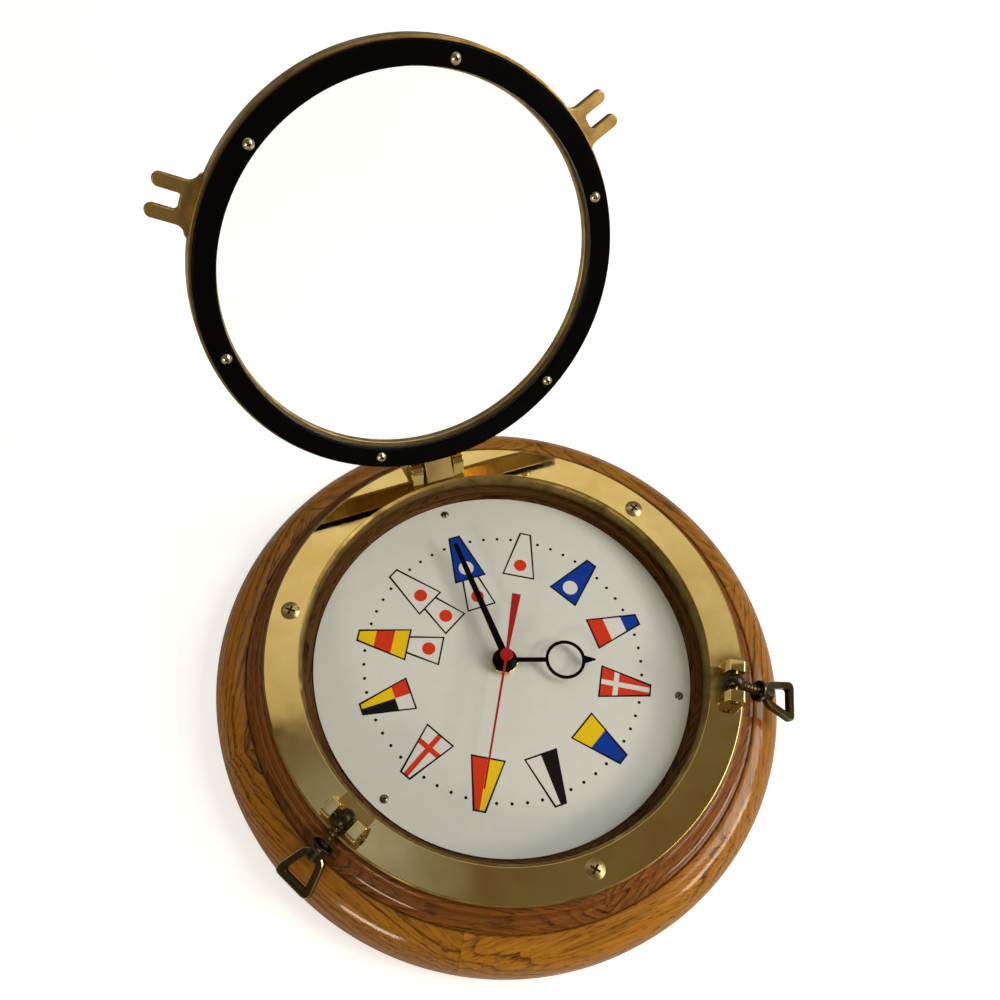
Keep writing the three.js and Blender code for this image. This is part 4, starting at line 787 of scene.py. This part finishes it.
glass = float_glass()
black = stove_enamel("gloss black enamel", "#060606", "#0B0A0A", 0.03)
fitted("window_glass", [(moved(washer(AXIS, 95.6, 4, 8, 0.4, 200), OPEN), glass)], "window")
hoop = turned(softened([(93.4, 3.7), (93.4, 1.1), (94.1, 0.4), (103.7, 0.4), (104.4, 1.1), (104.4, 3.7)], 0.3), 200)
fitted("glass_retainer", [(moved(hoop, OPEN), black)], "window")
screws = screws_around("window_screws", screw(2.8, 2.0, 0.6, 2.2, 0.9, 0.4), nickel, 6, -18.5, 98.0, 0.4, 0.9,
                       turn_about("Y", 180), OPEN)
placed("window_screws", screws, "window", ["window_screw_%d" % i for i in range(1, 7)])

# %% [markdown]
# ## The drop bolts
# Each bolt has an eye on a pin, a threaded shank and a hand nut with a loop to pull on. The thread follows a
# helix, so a Geometry Nodes tree sweeps a small five-sided ridge along a spiral and joins it to the core. The loop
# is a bar with bevelled edges that follows a four-cornered path, and its corners are rounded in the path.

# %% A tree for threads
def thread_tree():
    tree, sockets, given = new_tree("screw thread", {"Turns": "Float", "Core Radius": "Float", "Depth": "Float",
                                                     "Length": "Float", "Finish": "Material"})
    radius, length = given["Core Radius"], given["Length"]
    helix = add(tree, "GeometryNodeCurveSpiral", {"Resolution": 24, "Rotations": given["Turns"], "Start Radius": radius,
                                                  "End Radius": radius, "Height": length})
    ridge = add(tree, "GeometryNodeCurvePrimitiveCircle", {"Resolution": 5, "Radius": given["Depth"]})
    swept = add(tree, "GeometryNodeCurveToMesh", {"Curve": helix, "Profile Curve": ridge, "Fill Caps": True})
    core = add(tree, "GeometryNodeMeshCylinder", {"Vertices": 32, "Radius": radius, "Depth": length})
    half = add(tree, MATH, {0: length, 1: 0.5}, operation="MULTIPLY")
    lift = add(tree, "ShaderNodeCombineXYZ", {"Z": half})
    raised = add(tree, "GeometryNodeTransform", {"Geometry": core, "Translation": lift})
    both = add(tree, "GeometryNodeJoinGeometry")
    for part in (swept, raised):
        wire(tree, both, {0: part})
    end_tree(tree, both, given["Finish"])
    return tree, sockets


THREAD_TREE, THREAD_SOCKETS = thread_tree()
THREAD_DEPTH = 0.35


def threaded(length, radius, pitch, material):
    return baked("thread", THREAD_TREE, THREAD_SOCKETS, {
        "Turns": length / pitch, "Core Radius": (radius - THREAD_DEPTH) * MM, "Depth": THREAD_DEPTH * MM,
        "Length": length * MM, "Finish": material})


print("tree inputs:", list(THREAD_SOCKETS))


# %% Loop of a hand nut
def loop_bar(near, far, near_half, far_half, bar, thick, corner=2.4, worn=0.5):
    """The bar's faces, and apart from them the outer edges that hands and boxes have rubbed bare."""
    slope = (far_half - near_half) / (far - near)
    side = bar * math.sqrt(1 + slope * slope)
    near_in, far_in = near_half + slope * bar - side, far_half - slope * bar - side
    outer = softened([(-near_half, near), (near_half, near), (far_half, far), (-far_half, far)], corner + bar * 0.6, 6)
    near, far = near + bar, far - bar
    inner = softened([(-near_in, near), (near_in, near), (far_in, far), (-far_in, far)], corner, 6)
    cut, top = worn / bar, thick / 2
    section = [(0, worn - top), (0, top - worn), (cut, top), (1 - cut, top), (1, top - worn), (1, worn - top),
               (1 - cut, -top), (cut, -top)]
    points = [(ox + (ix - ox) * u, oy + (iy - oy) * u, h)
              for (ox, oy), (ix, iy) in zip(outer, inner) for u, h in section]
    around = len(section)
    faces = quads(len(outer), around, len(outer))
    plain = sum((faces[k::around] for k in (0, 2, 3, 4, 5, 6)), [])
    return (points, plain), (points, faces[1::around] + faces[7::around])


body, edges = loop_bar(19.4, 39, 6, 11.5, 3.6, 4)
print("loop:", len(body[1]), "faces and", len(edges[1]), "on its worn edges")

# %% Eye bolts and hand nuts
DROOP = 25
upright = turn_about("X", -90)
eye_ring = turned([(2.05, -3.3), (2.05, 3.3)] + arc((3.0, 0), 2.4, 80, -80, 16, 3.3), 64)
nut_section = softened([(AXIS, 19.2), (2.7, 19.2), (2.7, 17.6), (4.5, 15.2), (5.3, 15), (5.6, 15.8), (5.4, 17.2),
                        (4.4, 18.6), (4.4, 23), (AXIS, 23)], 0.4)
for side, clock in BOLTS.items():
    place = at_clock(clock) @ Matrix.Translation(PIN) @ turn_about("X", -DROOP)
    thread = points_of(threaded(14.6, 2.5, 1.2, thread_brass))
    shank = moved(thread, place @ Matrix.Translation((0, 4.4, 0)) @ upright)
    eye = moved(eye_ring, place @ lying)
    fitted("eye_bolt_" + side, [(eye, dark_brass), (shank, thread_brass)], "dog_" + side)
    collar = moved(turned(nut_section, 56), place @ upright)
    nut = [(collar, dark_brass), (moved(body, place), thread_brass), (moved(edges, place), worn_brass)]
    fitted("hand_nut_" + side, nut, "nut_" + side)

# %% [markdown]
# ## The dial
# The dial is a thin enamelled plate. Its hours are signal pennants, printed in flat inks with a fine black
# outline. Print on a real dial is a few hundredths of a millimetre thick; here each field is a very thin closed
# prism, because flat sheets lying on a plate would flicker. Colours sit in plain inks with a slight mottle.

# %% Enamel and inks
PRINTED = {"grain": 0.006, "spread": 0.06, "dent": 0.08}
enamel = mottled("off-white dial enamel", "#D1D5D0", "#CACEC8", gloss=0.45, gleam=0.2, **PRINTED)
INKS = {name: mottled(name + " dial ink", colour, shade, gloss=0.6, gleam=0.06, **PRINTED) for name, colour, shade in (
    ("white", "#D5D6D3", "#CECFCB"), ("black", "#0E0D0D", "#171615"), ("red", "#CE3A20", "#C23418"),
    ("blue", "#123A9B", "#0D3290"), ("yellow", "#E5C21A", "#DAB712"))}
fitted("dial_plate", [(washer(4.2, 99.2, 24.5, DIAL, 0.2, 200), enamel)], "case")


# %% Pennants
def field(hour, corners, ink_name, layer):
    """A closed prism from corners (across, out) at an hour; across runs clockwise."""
    turn = math.radians(30 * hour)
    flat = [(u * math.cos(turn) + r * math.sin(turn), -u * math.sin(turn) + r * math.cos(turn)) for u, r in corners]
    own = 0.0004 * (corners[0][0] + corners[0][1])
    return sawn(flat, DIAL - 0.05 + own, DIAL + 0.03 + own + 0.02 * layer), INKS[ink_name]


def pennant(hour, outer, inner, fields, line=0.42):
    (r1, h1), (r0, h0) = outer, inner
    half = lambda r: h1 + (r1 - r) / (r1 - r0) * (h0 - h1)
    made = []
    for kind, ink_name, layer, *spec in fields:
        if kind == "band":
            a, b, left, right = spec
            corners = [(left * half(a), a), (right * half(a), a), (right * half(b), b), (left * half(b), b)]
        elif kind == "disc":
            corners = [(x, spec[0] + y) for x, y in arc((0, 0), spec[1], 0, 352, 44)]
        else:
            corners = [(-spec[0], r0), (spec[0], r0), (spec[0], r1), (-spec[0], r1)]
        made.append(field(hour, corners, ink_name, layer))
    wide = line * math.sqrt(1 + ((h0 - h1) / (r1 - r0)) ** 2)
    rim = lambda grow: [(s * (half(r) + grow * wide), r + e * grow * line)
                        for s, r, e in ((-1, r0, -1), (1, r0, -1), (1, r1, 1), (-1, r1, 1))]
    out, low = rim(1), rim(-1)
    for i in range(4):
        j = (i + 1) % 4
        made.append(field(hour, [out[i], out[j], low[j], low[i]], "black", 3))
    return made


ROOT, TIP = 51.5, 78


def band(colour, start=ROOT, end=TIP, left=-1, right=1, layer=0):
    return "band", colour, layer, start, end, left, right


red_sun, white_sun = ("disc", "red", 1, 58.2, 3.5), ("disc", "white", 1, 58.2, 4.1)
HOURS = {
    1: [band("white"), red_sun],
    2: [band("blue"), white_sun],
    3: [band("red", ROOT, 60), band("white", 60, 69.5), band("blue", 69.5, TIP)],
    4: [band("red"), ("stripe", "white", 1, 1.35), band("white", 58.4, 61.1, layer=2)],
    5: [band("yellow", ROOT, 62), band("blue", 62, TIP)],
    6: [band("white", left=0), band("black", right=0)],
    7: [band("red", left=0), band("yellow", right=0)],
    8: [band("white"), ("stripe", "red", 1, 1.35), band("red", 58.9, 61.6, layer=2)],
    9: [band("yellow", 60, TIP, left=0), band("black", 60, TIP, right=0),
        band("red", ROOT, 60, left=0), band("white", ROOT, 60, right=0)],
    10: [band("yellow", ROOT, 59.5), band("red", 59.5, 69), band("yellow", 69, TIP)],
    11: [band("white"), red_sun],
    12: [band("blue"), white_sun],
}
prints = []
for hour, fields in HOURS.items():
    prints += pennant(hour, (TIP, 2.85), (ROOT, 8.5), fields)
for hour in (10, 11, 12):
    prints += pennant(hour, (ROOT, 4.4), (33.7, 7.7), [band("white", 33.7, 51.2), ("disc", "red", 1, 40.3, 3.5)])
placed("dial_pennants", tidied(mesh_of("dial_pennants", prints), 30), "case")

# %% [markdown]
# The minute dots repeat about the clock, four between the hours, so the same tree lays them and skips every fifth.

# %% Minute dots
dot = tidied(mesh_of("dot", [(sawn(arc((0, 0), 0.85, 0, 330, 11), -0.05, 0.04), None)]))
dots = around_clock("minute_dots", dot, INKS["black"], 60, 0, 73.2, DIAL, skip=5)
placed("minute_dots", tidied(dots, 30), "case")

# %% [markdown]
# ## Hands, nut and washer
# The hands are stamped from thin sheet and lacquered. The hour hand carries a ring, the minute hand is a plain
# bar, and the red second hand has a broad tail. A brass nut holds the movement to the dial under them. Parts of a
# hand overlap a little in height, as a pressed hub does, so that no two faces share a plane.

# %% Hands
def bar(near, far, near_half, far_half, low, high, ease):
    return sawn([(-near_half, near), (near_half, near), (far_half, far), (-far_half, far)], low, high, ease)


red = stove_enamel("gloss red enamel", "#9C1E1B", "#8A1716", 0.1)
hub = softened([(2.8, 30.15), (6.6, 30.15), (6.6, 30.6), (5.2, 31.3), (2.8, 31.6)], 0.3)
cap = [(AXIS, 38.05), (3.4, 38.05), (3.4, 38.8)] + arc((0, 38.8), 3.4, 15, 75, 4, 0.35) + [(AXIS, 39.15)]
tail = sawn([(-0.7, -2), (-2.4, -34.7), (2.4, -34.7), (0.7, -2)], 38.1, 38.9, 0.1)
HANDS = (
    ("hour", 108.4, black, "black_lacquer", [
        bar(3, 21.8, 1.2, 1.2, 30.2, 30.96, 0.15),
        moved(washer(8.9, 10.6, 30.2, 31.0, 0.25, 96), Matrix.Translation((0, 31.9, 0))),
        bar(42.0, 48, 2.2, 0.35, 30.2, 30.96, 0.12), turned(hub, 72)]),
    ("minute", 357.9, black, "black_lacquer", [
        bar(2.5, 70.7, 1.9, 1.3, 34.1, 34.9, 0.15),
        washer(1.75, 4.4, 34.05, 35.0, 0.35), washer(1.75, 3.4, 32.1, 34.2)]),
    ("second", 210.0, red, "red_lacquer", [
        bar(1, 70, 0.65, 0.45, 38.1, 38.86, 0.1), tail, turned(cap, 56), washer(0.62, 2, 36.5, 38.2)]),
)
for name, clock, material, slot, shapes in HANDS:
    fitted(name + "_hand", [(moved(shape, at_clock(clock)), material) for shape in shapes], name)

# %% Nut and washer
hexagon = arc((0, 0), 7.2, 90, -210, 5)
nut = tidied(mesh_of("hand_fixing_nut", [(sawn(softened(hexagon, 0.5, 3), 26.6, 29.4, 0.35), bright_brass)]))
nut = drilled(nut, [turned([(AXIS, 20), (4.0, 20), (4.0, 35), (AXIS, 35)], 48)])
placed("hand_fixing_nut", tidied(nut), "case", ["hand_fixing_nut"])
fitted("hand_washer", [(washer(4.1, 6.4, DIAL, 26.6), bright_brass)], "case")

# %% [markdown]
# ## What the CAD model keeps
# The back board, the hanger and the movement have the right shape already, so they stay and only get finishes:
# hardboard, zinc plated steel, moulded plastic, a battery sleeve and a green circuit board.

# %% Finishes for the pieces that stay
KEPT = {
    mottled("brown hardboard", "#8A6238", "#6F4B28", 0.0015, 0.7): ["back_panel"],
    mottled("zinc plated steel", "#A9ABA9", "#8C8E8C", 0.002, 0.38, metal=1.0):
        ["hanger_strip", "hanger_screw_1", "hanger_screw_2", "second_arbor"],
    mottled("nickel plated spring steel", "#C4C1B8", "#A9A69B", 0.002, 0.28, metal=1.0):
        ["battery_contact_plus", "battery_contact_minus"],
    mottled("black ABS", "#1B1B1D", "#26262A", 0.0008, 0.5): ["movement_case", "movement_cover", "set_knob"],
    mottled("white acetal", "#DDDBD3", "#CFCDC4", 0.001, 0.4):
        ["hour_wheel", "minute_arbor", "motion_wheel", "step_motor"],
    mottled("green battery sleeve", "#2F6B42", "#275A38", 0.003, 0.3): ["battery"],
    mottled("green solder mask", "#1F5A3B", "#184A31", 0.002, 0.35): ["circuit_board"],
}
for material, names in KEPT.items():
    for name in names:
        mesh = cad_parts[name].data
        mesh.materials.clear()
        mesh.materials.append(material)
print("kept:", sorted(name for names in KEPT.values() for name in names))
